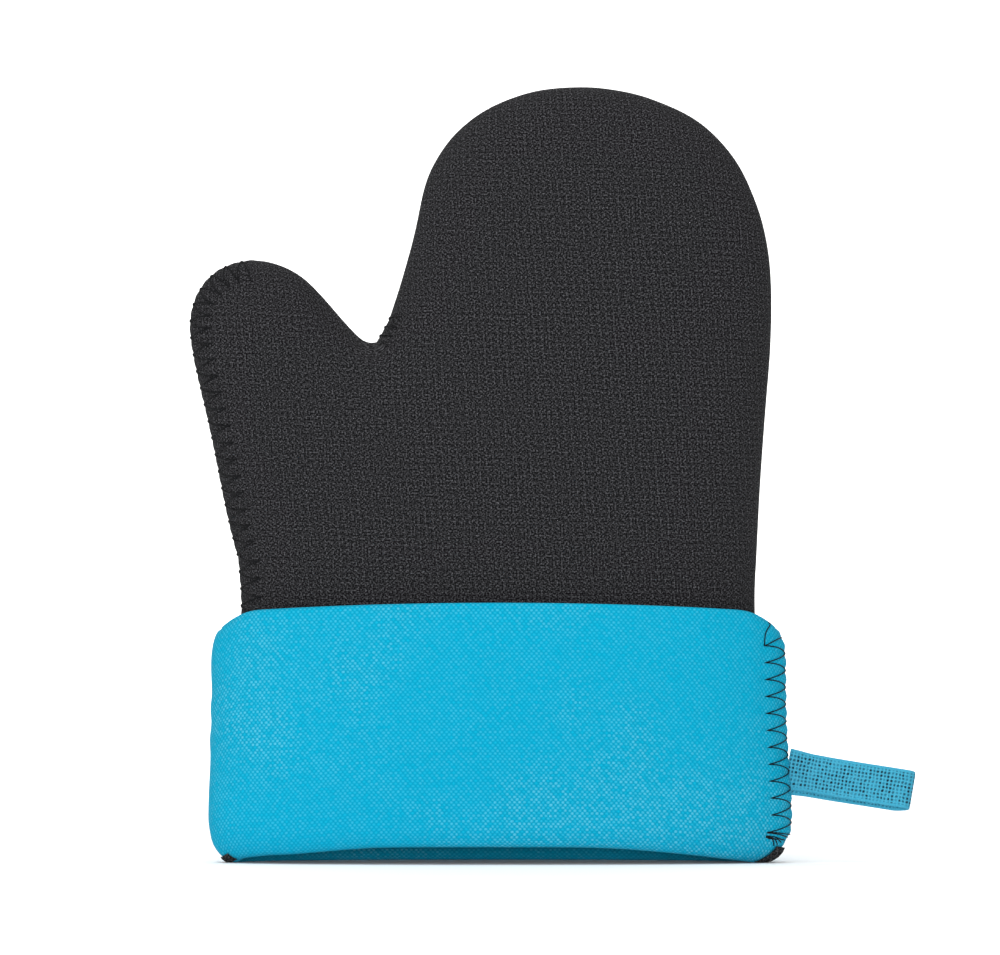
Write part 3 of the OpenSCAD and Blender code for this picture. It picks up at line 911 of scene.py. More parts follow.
    def edge_thread(self, line: np.ndarray, inward: float, start: float, count: int, stitch: Stitch
                    ) -> list[tuple[np.ndarray, np.ndarray]]:
        """Overlock threads over an edge of the hand.

        Args:
            line: The edge on the pattern, (n, 2).
            inward: 1 where the cloth lies to the right of the line, -1 to the left.
            start: Where the stitches start along it.
            count: How many stitches.
            stitch: The stitch.

        Returns:
            A path with normals for each face.
        """
        length = np.concatenate([[0], np.cumsum(np.linalg.norm(np.diff(line, axis=0), axis=1))])
        s, d = stitch.legs(count)
        s = s + start
        at = np.stack([np.interp(s, length, line[:, k]) for k in (0, 1)], 1)
        way = np.gradient(line, axis=0)
        way /= np.linalg.norm(way, axis=1)[:, None]
        way = np.stack([np.interp(s, length, way[:, k]) for k in (0, 1)], 1)
        n = inward * np.stack([way[:, 1], -way[:, 0]], 1)
        n /= np.linalg.norm(n, axis=1)[:, None]
        reach = stitch.deep * (np.clip(d / stitch.deep, 0, 1)) ** 1.5
        paths = []
        for side in Side:
            p, normal = self.surface(at + n * (reach + 0.02)[:, None], side)
            paths.append((p + normal * self.LIFT, normal))
        return paths

    def threads(self) -> None:
        """Make the stitches of the wrist, the thumb's edge and the crotch."""
        seam, pitch = self._seam(), self.STITCH.pitch
        foot = float(np.interp(self.pattern.foot[1], seam[:60, 1], self.seam_s[:60]))
        low = int(foot // pitch)
        total = int((self.seam_s[-1] - 3) // pitch)
        wrist = self.edge_thread(seam, 1, 0, low, self.STITCH)
        self.thread_wrist = make_mesh("stitches_wrist", *tube(wrist, self.THREAD))
        thumb = self.edge_thread(seam, 1, low * pitch, total - low, self.STITCH)
        self.thread_thumb = make_mesh("stitches_thumb", *tube(thumb, self.THREAD))
        small = Stitch(pitch=3.0, deep=3.6, samples=10)
        web = self.pattern.web
        up = np.vstack([web, self.pattern.tip[::-1][1:8]])
        crotch = self.edge_thread(up, 1, 0.8, 3, small)
        self.thread_crotch = make_mesh("stitches_crotch", *tube(crotch, self.THREAD))

    def dress(self, knit: bpy.types.Material, lining: bpy.types.Material, thread: bpy.types.Material) -> None:
        """Give the pieces their finish and hide the frame's parts they stand for; only the wrist's stitches
        are attached to the hand.

        Args:
            knit: The charcoal knit.
            lining: The blue lining.
            thread: The black thread.
        """
        pt = self.pattern
        low, high = (0.0, 0.0, (pt.bend - 5) * MM), (0.0, 0.0, (pt.bend + 17) * MM)
        root = (pt.middle[0] * MM, 0.0, pt.middle[1] * MM)
        end = ((pt.middle + pt.out * 15)[0] * MM, 0.0, (pt.middle + pt.out * 15)[1] * MM)
        plies = {"knit": (("shell", "foam"), knit, Slot.KNIT), "lining": (("lining",), lining, Slot.LINING)}
        for obj, body in ((self.knit_hand, "fingers"), (self.lining_hand, "fingers"),
                          (self.knit_thumb, "thumb"), (self.lining_thumb, "thumb")):
            names, material, slot = plies[obj["layer"]]
            obj.data.materials.append(material)
            regions = ("palm", "fingers") if body == "fingers" else ("thumb",)
            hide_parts(*[f"{r}_{n}_{s}" for r in regions for n in names for s in ("front", "back")])
            if body == "fingers":
                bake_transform(obj)
            else:
                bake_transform(obj)
        for obj in (self.thread_wrist, self.thread_thumb, self.thread_crotch):
            obj.data.materials.append(thread)
            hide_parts(obj.name.replace("stitches", "thread"))
        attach(self.thread_wrist, "hand")
        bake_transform(self.thread_crotch)
        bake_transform(self.thread_thumb)


@dataclass
class Cuff:
    """The mitt's open end, turned back up over the wrist with its lining outside."""

    STITCH = Stitch(pitch=5.15, deep=6.8)
    COLS = 120
    RISE = 104
    FOLD = 14
    INNER = 26
    CURL = 7.0
    PLIES = 8.8
    LIP = 1.15
    TUCK = 2.6
    LINING = 0.9
    KNIT = 2.3
    THREAD = 0.17
    LIFT = 0.2
    COUNT = 11

    sizes: Sizes
    pattern: Pattern

    def __post_init__(self) -> None:
        """Choose the cuff's lines."""
        grow = np.array([self.sizes.cuff / 88.8, 1])
        self.left = through(
            np.array([(88.4, 0), (88.8, 12), (88.6, 28), (88.1, 48), (87.8, 80)]) * grow)
        self.right = through(
            np.array([(88.0, 0), (88.9, 14), (88.1, 28), (87.2, 46), (86.9, 80)]) * grow)
        self.turn = np.linspace(-math.pi / 2, math.pi / 2, self.COLS + 1)
        self.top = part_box("cuff_lining_front")[1].z / MM

    def hem(self, side: Side) -> np.ndarray:
        """Height of the fold's underside round one face.

        Args:
            side: Which face.

        Returns:
            The height at each column. The front arches up from the floor.
        """
        if side is Side.BACK:
            return np.zeros(self.COLS + 1)
        line = through([(-1, 0), (-0.965, 1.5), (-0.88, 2.5), (-0.78, 3.0), (-0.68, 3.7), (-0.54, 4.7),
                        (-0.40, 5.2), (0.0, 5.3), (0.40, 5.0), (0.69, 3.2), (0.90, 1.2), (1, 0)],
                       step=0.01, ease=0.02)
        return np.interp(np.sin(self.turn), line[:, 0], line[:, 1]) * np.cos(self.turn) ** 0.06

    def rim(self) -> np.ndarray:
        """Height of the upper edge at each column, which drops round the corners."""
        u = np.abs(np.sin(self.turn))
        return self.top - 3.0 * u**2 - 4.2 * np.clip((u - 0.86) / 0.14, 0, 1) ** 2.2

    def point(self, side: Side, off: np.ndarray, z: np.ndarray, draw: np.ndarray) -> np.ndarray:
        """Points at a depth below the cuff's outer face.

        The section is x = a sin t, y = b sqrt(1 - |sin t|^n), with its own half width on each side.

        Args:
            side: Which face.
            off: Depth below the outer face.
            z: Heights.
            draw: How far the sides are drawn in.

        Returns:
            The points, in the layout of z.
        """
        u = np.sin(self.turn)
        a = np.where(u < 0, np.interp(z, self.left[:, 1], self.left[:, 0]),
                     np.interp(z, self.right[:, 1], self.right[:, 0])) - draw - off
        b = self.sizes.depth[side] + self.sizes.inset - off
        y = side.value * b * np.sqrt(np.clip(1 - np.abs(u) ** self.sizes.section, 0, 1))
        y = y + np.zeros_like(z)
        y[:, 0] = y[:, -1] = 0
        return np.stack([a * u + np.zeros_like(z), y, z + np.zeros_like(a)], 2)

    def draw_in(self, height: np.ndarray) -> np.ndarray:
        """How far the corners of the fold are drawn in.

        Args:
            height: Height above the hem.

        Returns:
            The distance, more on the right than on the left.
        """
        u = np.sin(self.turn)
        most = np.where(u < 0, 3.2, 5.4)
        return most * np.clip(1 - height / 13, 0, 1) ** 2

    def face(self, side: Side, off: float, v: np.ndarray, top: float = 0.0) -> np.ndarray:
        """The upright part of the cuff at a depth below its outer face.

        Args:
            side: Which face.
            off: Depth.
            v: Row positions from the fold, 0, to the rim, 1.
            top: How far below the rim the rows end.

        Returns:
            Points, (len(v), COLS + 1, 3).
        """
        low = (self.hem(side) + self.CURL)[None]
        z = mix(low, self.rim()[None] - top, v[:, None])
        w = np.clip((v - 0.84) / 0.16, 0, 1)[:, None]
        corner = smooth((np.abs(np.sin(self.turn)) - 0.55) / 0.45)
        rounding = mix(0.7, 2.9, corner) * (1 - np.sqrt(np.clip(1 - w**2, 0, 1)))
        draw = self.draw_in(z - self.hem(side)) + rounding
        g = self.point(side, np.full_like(z, off), z, draw)
        bulge = 0.9 * np.sin(math.pi * np.clip(v, 0, 1))[:, None] * np.cos(self.turn) ** 2
        g[..., 1] += side.value * bulge
        return g

    def build(self) -> None:
        """Make the blue turned-back cloth, the knit behind it and the ends of its seams."""
        grids = []
        self.lead = self.INNER + self.FOLD
        for side in Side:
            hem = self.hem(side)[None]
            outer = self.face(side, 0.0, np.linspace(0, 1, self.RISE + 1), self.LIP)
            t = np.linspace(0, math.pi, self.FOLD + 1)[1:-1, None]
            fold_z = hem + self.CURL * (1 - np.sin(t))
            off = self.PLIES / 2 * (1 + np.cos(t)) + np.zeros_like(fold_z)
            fold = self.point(side, off, fold_z, self.draw_in(fold_z - hem))
            share = np.linspace(0, 1, self.INNER + 1)[:, None]
            leg_z = mix(self.pattern.foot[1] + 3, hem + self.CURL, share)
            x0, x1 = self.pattern.halves(leg_z)
            u = np.sin(self.turn)
            half = (x1 - x0) / 2 - self.sizes.panel
            join = self.point(side, np.full_like(leg_z, self.PLIES), leg_z, self.draw_in(leg_z - hem))
            b = self.sizes.depth[side] - self.sizes.panel
            y = side.value * b * np.sqrt(np.clip(1 - np.abs(u) ** self.sizes.section, 0, 1))
            y = y + np.zeros_like(leg_z)
            y[:, 0] = y[:, -1] = 0
            leg = np.stack([(x0 + x1) / 2 + half * u, y, leg_z], 2)
            near = smooth((leg_z - hem - self.CURL) / 30)[..., None]
            leg = mix(join, leg, near)
            around = np.linspace(0, math.pi, 9)[1:, None]
            rim_z = outer[-1, :, 2][None] + self.LIP * np.sin(around)
            turned = []
            for k, a in enumerate(around[:, 0]):
                inner = self.face(side, self.LIP * (1 - math.cos(a)), np.array([1.0]), self.LIP)[0]
                inner[:, 2] = rim_z[k]
                turned.append(inner)
            lower = turned[-1].copy()
            lower[:, 2] -= self.TUCK
            grids.append(np.concatenate([leg, fold, outer, np.stack(turned), lower[None]]))
        self.grids = grids
        self._sew()
        self.skin = Skin(self.grids, [False, True])
        self.normals = [self.skin.on(k, self.skin.normals) for k in range(2)]
        self.lining = thicken("cuff_lining", self.skin.points, self.skin.quads, self.skin.normals,
                              self.LINING, self._cloth(), shade=False)
        v = np.linspace(0, 1, 40)
        behind = [self.face(s, 1.0, v, 3.2) for s in Side]
        behind[1][:, 0], behind[1][:, -1] = behind[0][:, 0], behind[0][:, -1]
        back = Skin(behind, [False, True])
        self.knit = thicken("cuff_knit", back.points, back.quads, back.normals, self.KNIT,
                            back.points[:, [0, 2]])
        self._tabs()

    def _arc(self) -> tuple[np.ndarray, np.ndarray]:
        """Length round the cuff from the right edge.

        Returns:
            For each face, the length from the right edge to each point along its row.
        """
        out = []
        for g in self.grids:
            step = np.linalg.norm(np.diff(g, axis=1), axis=2)
            s = np.concatenate([np.zeros((len(g), 1)), np.cumsum(step[:, ::-1], 1)], 1)
            out.append(s[:, ::-1])
        return out[0], out[1]

    def _inset(self) -> list[np.ndarray]:
        """How far each grid's points lie in from the right edge, seen from the palm side."""
        return [g[:, -1:, 0] - g[..., 0] for g in self.grids]

    def _sew(self) -> None:
        """Puff the cloth between the stitches of the right edge, and crease it by the seams."""
        skin = Skin(self.grids, [False, True])
        arcs, insets = self._arc(), self._inset()
        for k, g in enumerate(self.grids):
            z = g[..., 2]
            rows = np.arange(len(g))[:, None] + np.zeros_like(z)
            outside = (rows > self.lead - 5) & (rows < self.lead + self.RISE + 2)
            on_edge = smooth((z - 4) / 4) * smooth((self.top - 8 - z) / 3)
            out = self.STITCH.relief(self.hole - z, insets[k]) * on_edge * (insets[k] < 14)
            from_left = arcs[k][:, :1] - arcs[k]
            puckers = 0.16 * np.sin(z / 2.4 + 2 * np.sin(z / 7)) * np.exp(-from_left / 5.0)
            u = arcs[k]
            soft = 0.30 * np.sin(u / 24 + 1.3 * np.sin(z / 19)) * np.sin(z / 21 + 0.5)
            soft = soft + 0.12 * np.sin((u - 2 * z) / 13 + np.sin(z / 9))
            out = out + (puckers + soft * smooth(np.minimum(u, from_left) / 12)) * smooth((z - 6) / 8)
            n = skin.on(k, skin.normals)
            self.grids[k] = g + n * (out * outside)[..., None]
        self.grids[1][:, 0], self.grids[1][:, -1] = self.grids[0][:, 0], self.grids[0][:, -1]

    @property
    def hole(self) -> float:
        """Height of the topmost inner hole of the right edge."""
        return self.top - 13.3

    def _cloth(self) -> np.ndarray:
        """Flat position of each joined point.

        Returns:
            Length round the cuff from the middle of the front, and length along the profile.
        """
        out = np.zeros((len(self.skin.points), 2))
        arcs = self._arc()
        for k in (1, 0):
            g = self.grids[k]
            steps = np.linalg.norm(np.diff(g[:, self.COLS // 2], axis=0), axis=1)
            along = np.concatenate([[0], np.cumsum(steps)])
            u = arcs[k][:, self.COLS // 2][:, None] - arcs[k]
            flat = np.stack([u, along[:, None] + np.zeros_like(u)], 2)
            out[self.skin.maps[k].ravel()] = flat.reshape(-1, 2)
        return out

    def surface(self, side: Side, z: np.ndarray, d: np.ndarray, left: bool = False, level: bool = True
                ) -> tuple[np.ndarray, np.ndarray]:
        """Points and normals of the outer face near an edge.

        Args:
            side: Which face.
            z: Heights of the points, or of their rows at the edge.
            d: Distance in from the edge, seen from the palm side.
            left: Whether from the left edge.
            level: Whether the heights are the points' own.

        Returns:
            The points and unit normals, in millimetres.
        """
        k = 0 if side is Side.FRONT else 1
        g, n = self.grids[k], self.normals[k]
        low = self.INNER + self.FOLD // 2
        rows = np.arange(low, self.lead + self.RISE + 4)
        edge = g[rows, 0 if left else -1, 2]
        row = np.interp(z, np.maximum.accumulate(edge), rows)
        inset = self._inset()[k][self.lead + 30]
        inset = inset[0] - inset if left else inset[::-1]
        col = np.interp(d, inset, np.arange(len(inset)))
        col = col if left else len(inset) - 1 - col
        for _ in range(4 if level else 0):
            miss = z - sample(g, row, col)[:, 2]
            row = np.clip(row + miss / (self.top / self.RISE), rows[0], rows[-1])
        p, m = sample(g, row, col), sample(n, row, col)
        return p, m / np.linalg.norm(m, axis=1)[:, None]

    def _tabs(self) -> None:
        """Make the charcoal ends of the seams, wrapped under the cuff's corners."""
        self.tabs = []
        for left, wide in ((True, 2.2), (False, 2.4)):
            z = np.linspace(0.2, 2.0 if left else 5.0, 14)
            d = np.linspace(0, wide, 8)
            swell = np.sin(np.linspace(0, math.pi, len(z)) ** 0.9)[:, None] ** 0.6
            sheets = []
            for side in Side:
                zz, dd = np.meshgrid(z, d, indexing="ij")
                p, n = self.surface(side, zz.ravel(), dd.ravel(), left, level=False)
                rise = (0.25 + (0.55 if left else 1.25) * swell * np.cos(dd / wide * 1.3)).ravel()[:, None]
                g = (p + n * rise).reshape(len(z), len(d), 3)
                g[..., 2] = np.maximum(g[..., 2], 0.03)
                sheets.append(g[:, ::-1] if not left else g)
            edge = 0 if left else -1
            sheets[1][:, edge] = sheets[0][:, edge]
            skin = Skin(sheets, [False, True])
            name = "corner_tab_left" if left else "corner_tab_right"
            self.tabs.append((name, thicken(f"{name}_knit", skin.points, skin.quads, skin.normals,
                                            0.2, skin.points[:, [0, 2]], shade=False)))

    def threads(self) -> None:
        """Make the right edge's overlock and its dense end."""
        stitch = self.STITCH
        s, d = stitch.legs(self.COUNT)
        reach = stitch.deep * (d / stitch.deep) ** 1.5
        paths = []
        for side in Side:
            p, n = self.surface(side, self.hole - s, reach)
            paths.append((p + n * self.LIFT, n))
        first = np.array([[self.top - 6.4, 3.0], [self.top - 8.6, 5.6], [self.top - 10.8, 6.6],
                          [self.hole, stitch.deep]])
        upper = np.array([[self.hole, stitch.deep], [self.hole + 1.6, 3.2], [self.hole + 2.4, 0.3]])
        for side in Side:
            for chosen in (first, upper):
                line = through(chosen, step=0.5, ease=0)
                p, n = self.surface(side, line[:, 0], line[:, 1])
                paths.append((p + n * self.LIFT, n))
        self.thread_cuff = make_mesh("stitches_cuff", *tube(paths, self.THREAD))
        last = self.hole - self.COUNT * stitch.pitch
        fan = [(0.0, 0.9, 0.1), (0.2, 1.7, 0.3), (1.1, 2.7, 0.8), (1.3, 3.5, 1.6), (1.4, 4.1, 2.4),
               (1.5, 4.5, 3.2)]
        rays = []
        t = np.linspace(0, 1, 12)
        for side in Side:
            for hole, end, reach in fan:
                inward = mix(stitch.deep + 0.3, reach, t**0.8)
                p, n = self.surface(side, last - mix(hole, end, t**1.3), inward)
                rays.append((p + n * 0.22, n))
        self.thread_backtack = make_mesh("stitches_backtack", *tube(rays, self.THREAD))

    def dress(self, knit: bpy.types.Material, lining: bpy.types.Material, thread: bpy.types.Material) -> None:
        """Give the pieces their finish and let them ride.

        Args:
            knit: The charcoal knit.
            lining: The blue lining.
            thread: The black thread.
        """
        parts, ends = ("cuff", "fold"), ("front", "back")
        linings = [f"{r}_lining_{e}" for r in parts for e in ends]
        knits = [f"{r}_{n}_{e}" for r in parts for n in ("shell", "foam") for e in ends]
        for obj, material, slot, nodes in (
            (self.lining, lining, Slot.LINING, linings),
            (self.knit, knit, Slot.KNIT, knits),
            (self.thread_cuff, thread, Slot.THREAD, ["thread_cuff"]),
            (self.thread_backtack, thread, Slot.THREAD, ["thread_backtack"]),
        ):
            obj.data.materials.append(material)
            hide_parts(*nodes)
            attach(obj, "hand")
        for node, obj in self.tabs:
            obj.data.materials.append(knit)
            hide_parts(node)
            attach(obj, "hand")


@dataclass
class HangingLoop:
    """A woven tape, folded on itself and sewn into the cuff's right edge."""

    SWING_FROM = (0.0886, 0, 0.028)
    SWING_TO = (0.0936, 0, 0.028)

    wide: float = 11.7
    thick: float = 1.0
    drop: float = 9.8
    root: tuple = (87.6, 28.6)
    long: float = 38.4
    end: float = 2.3
    gap: float = 0.62
    flat: float = 0.0

    def build(self) -> None:
        """Sweep the tape's section round its path.

        The path goes out along the front leg, round the end and back along the other leg, which
        hangs a little lower. The section is a flat bar with rounded edges.
        """
        end = self.end
        straight = self.long - end
        t = np.linspace(0, 1, 60)
        gap = self.gap + (end - self.gap) * smooth(t / 0.75)
        turn = np.linspace(-math.pi / 2, math.pi / 2, 26)[1:-1]
        x = np.concatenate([straight * t, straight + end * np.cos(turn), straight * t[::-1]])
        y = np.concatenate([-gap, end * np.sin(turn), gap[::-1]])
        s = np.concatenate([[0], np.cumsum(np.hypot(np.diff(x), np.diff(y)))])
        self.flat = float(s[-1])
        share = s / s[-1]
        sag = -1.5 * smooth((share - 0.46) / 0.12) - 0.15 * np.sin(share * 9)
        grow = 1 + 0.075 * (1 - smooth(np.minimum(share, 1 - share) / 0.1))
        tx, ty = np.gradient(x), np.gradient(y)
        size = np.hypot(tx, ty)
        nx, ny = ty / size, -tx / size
        q = np.linspace(0, 2 * math.pi, 40, endpoint=False)
        bar = np.sign(np.cos(q)) * np.abs(np.cos(q)) ** 0.16, np.sign(np.sin(q)) * np.abs(np.sin(q)) ** 0.8
        v, w = bar[0] * self.wide / 2, bar[1] * self.thick / 2
        lx = x[:, None] + nx[:, None] * w
        ly = y[:, None] + ny[:, None] * w
        lz = v * grow[:, None] + sag[:, None]
        a = math.radians(self.drop)
        points = np.stack([self.root[0] + lx * math.cos(a) + lz * math.sin(a), ly,
                           self.root[1] - lx * math.sin(a) + lz * math.cos(a)], 2)
        grid = np.concatenate([points, points[:, :1]], 1)
        caps = [np.repeat(grid[k].mean(0)[None, None], grid.shape[1], 1) for k in (0, -1)]
        grid = np.concatenate([caps[0], grid, caps[1]])
        skin = Skin([grid], [False])
        cloth = np.zeros((len(skin.points), 2))
        along = np.concatenate([[0], s, s[-1:]])[:, None] + np.zeros(grid.shape[1])
        over = np.concatenate([v, v[:1]])[None] + np.zeros((grid.shape[0], 1))
        cloth[skin.maps[0].ravel()] = np.stack([along, over], 2).reshape(-1, 2)
        middle = points.mean(1, keepdims=True)
        facing = (skin.on(0, skin.normals)[1:-1, :-1] * (points - middle)).sum()
        log.info("loop path %.1f mm", self.flat)
        quads = skin.quads if facing > 0 else skin.quads[:, ::-1]
        self.obj = make_mesh("hanging_loop", skin.points, quads, cloth)

    def dress(self, tape: bpy.types.Material) -> None:
        """Give the tape its finish and hide the frame's loop; the tape stays fixed in place.

        Args:
            tape: The woven tape.
        """
        self.obj.data.materials.append(tape)
        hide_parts("loop_root", "loop_tape")
        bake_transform(self.obj)


class Sock:
    """One value of a shader, with arithmetic written as usual."""

    def __init__(self, graph: "Graph", out: bpy.types.NodeSocket) -> None:
        """Wrap an output of a node in the graph."""
        self.graph, self.out = graph, out

    def __add__(self, other: "Sock | float") -> "Sock":
        """This plus the other."""
        return self.graph.math("ADD", self, other)

    def __radd__(self, other: "Sock | float") -> "Sock":
        """The other plus this."""
        return self.graph.math("ADD", other, self)

    def __sub__(self, other: "Sock | float") -> "Sock":
        """This less the other."""
        return self.graph.math("SUBTRACT", self, other)

    def __rsub__(self, other: "Sock | float") -> "Sock":
        """The other less this."""
        return self.graph.math("SUBTRACT", other, self)

    def __mul__(self, other: "Sock | float") -> "Sock":
        """This times the other."""
        return self.graph.math("MULTIPLY", self, other)

    def __rmul__(self, other: "Sock | float") -> "Sock":
        """The other times this."""
        return self.graph.math("MULTIPLY", other, self)

    def __truediv__(self, other: "Sock | float") -> "Sock":
        """This over the other."""
        return self.graph.math("DIVIDE", self, other)

    def __abs__(self) -> "Sock":
        """This without its sign."""
        return self.graph.math("ABSOLUTE", self)


class Graph:
    """A material's node tree, built by name."""

    def __init__(self, name: str) -> None:
        """Start a material.

        Args:
            name: Its name.
        """
        self.material = bpy.data.materials.new(name)
        self.material.use_nodes = True
        self.tree = self.material.node_tree
        self.tree.nodes.clear()
        self.count = 0

    def node(self, kind: str, settings: dict | None = None, sockets: dict | None = None) -> bpy.types.Node:
        """Add any node.

        Args:
            kind: Its type, without ShaderNode.
            settings: Its own settings.
            sockets: Values or Socks for its inputs, by name or number.

        Returns:
            The node.
        """
        n = self.tree.nodes.new("ShaderNode" + kind)
        n.location = (220 * (self.count % 12), -260 * (self.count // 12))
        self.count += 1
        for key, value in (settings or {}).items():
            setattr(n, key, value)
        for key, value in (sockets or {}).items():
            if isinstance(value, Sock):
                self.tree.links.new(value.out, n.inputs[key])
            else:
                n.inputs[key].default_value = value
        return n

    def math(self, operation: str, *values: Sock | float) -> Sock:
        """Add a Math node that works on numbers or Socks."""
        n = self.node("Math", {"operation": operation}, dict(enumerate(values)))
        return Sock(self, n.outputs[0])

    def blend(self, factor: Sock | float, a: Sock | tuple, b: Sock | tuple) -> Sock:
        """Mix two colours, where the factor is the share of b."""
        n = self.node("Mix", {"data_type": "RGBA", "clamp_factor": True}, {0: factor, 6: a, 7: b})
        return Sock(self, n.outputs[2])

    def ramp(self, value: Sock, low: float, high: float) -> Sock:
        """Ease a value from 0 at low to 1 at high."""
        n = self.node("MapRange", {"interpolation_type": "SMOOTHSTEP", "clamp": True},
                      {"Value": value, "From Min": low, "From Max": high})
        return Sock(self, n.outputs[0])

    def noise(self, at: Sock, scale: float, detail: float = 2.0) -> Sock:
        """Add soft noise about 0.5, as fine as its scale and with detail octaves."""
        n = self.node("TexNoise", {"noise_dimensions": "3D"},
                      {"Vector": at, "Scale": scale, "Detail": detail})
        return Sock(self, n.outputs[0])

    def finish(self, shader: dict, height: Sock | None = None, relief: float = 0.0) -> bpy.types.Material:
        """Add the surface itself.

        Args:
            shader: Inputs of the Principled shader.
            height: Relief, in millimetres.
            relief: How strongly it shows.

        Returns:
            The material.
        """
        if height is not None:
            bump = self.node("Bump", None, {"Height": height, "Distance": MM, "Strength": relief})
            shader = {**shader, "Normal": Sock(self, bump.outputs[0])}
        p = self.node("BsdfPrincipled", None, shader)
        out = self.node("OutputMaterial")
        self.tree.links.new(p.outputs[0], out.inputs[0])
        return self.material


@dataclass(frozen=True)
class GridKnit:
    """A grainy knit whose cells stand in a square grid, a little askew."""

    LEAN_ACROSS = 0.088
    LEAN_ALONG = 0.026
    SLANT = (0.626, 0.679, 0.498, 0.807)
    WANDER = 0.5

    name: str
    across: float
    along: float
    grain: float
    base: tuple
    light: tuple
    dark: tuple

    def make(self) -> bpy.types.Material:
        """Build the material.

        Cosines of the cloth's own position, at one and two to a cell across, one along and two slanting,
        shift the level at which a fine noise counts as a raised loop or a gap.

        Returns:
            The material.
        """
        g = Graph(self.name)
        uv = Sock(g, g.node("UVMap", {"uv_map": "cloth"}).outputs[0])
        at = Sock(g, g.node("TexCoord").outputs["Object"])
        parts = g.node("SeparateXYZ", None, {0: uv})
        x = Sock(g, parts.outputs[0]) + (g.noise(at, 150.0, 0.0) - 0.5) * self.WANDER
        y = Sock(g, parts.outputs[1]) + (g.noise(at, 170.0, 0.0) - 0.5) * self.WANDER
        turn = 2 * math.pi
        u = (x + y * self.LEAN_ACROSS) * (turn / self.across)
        v = (y + x * self.LEAN_ALONG) * (turn / self.along)
        cells = (g.math("COSINE", u) * 0.7 + g.math("COSINE", u * 2) + g.math("COSINE", v) * 0.8
                 + g.math("COSINE", (x * self.SLANT[0] - y * self.SLANT[1]) * turn)
                 + g.math("COSINE", (x * self.SLANT[2] + y * self.SLANT[3]) * turn))
        plain = g.ramp(g.noise(at, 26.0), 0.40, 0.66)
        loops = 0.5 + (g.noise(uv, self.grain, 0.0) - 0.5) * 0.85 + cells * (0.033 - plain * 0.010)
        mound = g.ramp(loops, 0.32, 0.60)
        peak = g.ramp(loops, 0.56, 0.78)
        fibre = g.noise(at, 1900.0, 3.0)
        colour = g.blend(mound, self.dark, self.base)
        colour = g.blend(peak * 0.8, colour, self.light)
        height = mound * 0.34 + (fibre - 0.5) * 0.12
        shader = {"Base Color": colour, "Roughness": 0.9 + (fibre - 0.5) * 0.1,
                  "Specular IOR Level": 0.05, "Sheen Weight": 0.015, "Sheen Roughness": 0.55}
        return g.finish(shader, height, 0.8)


@dataclass(frozen=True)
class DottedJersey:
    """A smooth jersey with small dots in staggered rows."""

    name: str
    across: float
    row: float
    base: tuple
    light: tuple
    dark: tuple

    def make(self) -> bpy.types.Material:
        """Build the material.

        The cloth's own position is counted in dots and rows, with each second row shifted by half a
        dot. The fraction gives the place in a dot and the whole part the dot, which picks its shade.

        Returns:
            The material.
        """
        g = Graph(self.name)
        uv = Sock(g, g.node("UVMap", {"uv_map": "cloth"}).outputs[0])
        at = Sock(g, g.node("TexCoord").outputs["Object"])
        parts = g.node("SeparateXYZ", None, {0: uv})
        wob = (g.noise(at, 300.0) - 0.5) * 0.5
        v = Sock(g, parts.outputs[1]) / self.row + wob
        row = g.math("FLOOR", v)
        u = Sock(g, parts.outputs[0]) / self.across + g.math("MODULO", abs(row), 2.0) * 0.5 + wob
        fu, fv = g.math("FRACT", u) - 0.5, (g.math("FRACT", v) - 0.5) * (self.row / self.across)
        far = g.math("SQRT", fu * fu + fv * fv)
        mound = 1 - g.ramp(far, 0.08, 0.46)
        cell = Sock(g, g.node("CombineXYZ", None, {0: g.math("FLOOR", u), 1: row}).outputs[0])
        chance = Sock(g, g.node("TexWhiteNoise", {"noise_dimensions": "2D"}, {"Vector": cell}).outputs[0])
        patch = g.ramp(g.noise(at, 22.0), 0.40, 0.68)
        fibre = g.noise(at, 1900.0, 3.0)
        colour = g.blend(mound, self.dark, self.base)
        colour = g.blend(mound * chance * (0.12 + patch * 0.26), colour, self.light)
        height = mound * (0.16 + patch * 0.14) + (fibre - 0.5) * 0.08
        shader = {"Base Color": colour, "Roughness": 0.86 + (fibre - 0.5) * 0.1,
                  "Specular IOR Level": 0.05, "Sheen Weight": 0.01, "Sheen Roughness": 0.5}
        return g.finish(shader, height, 0.6)


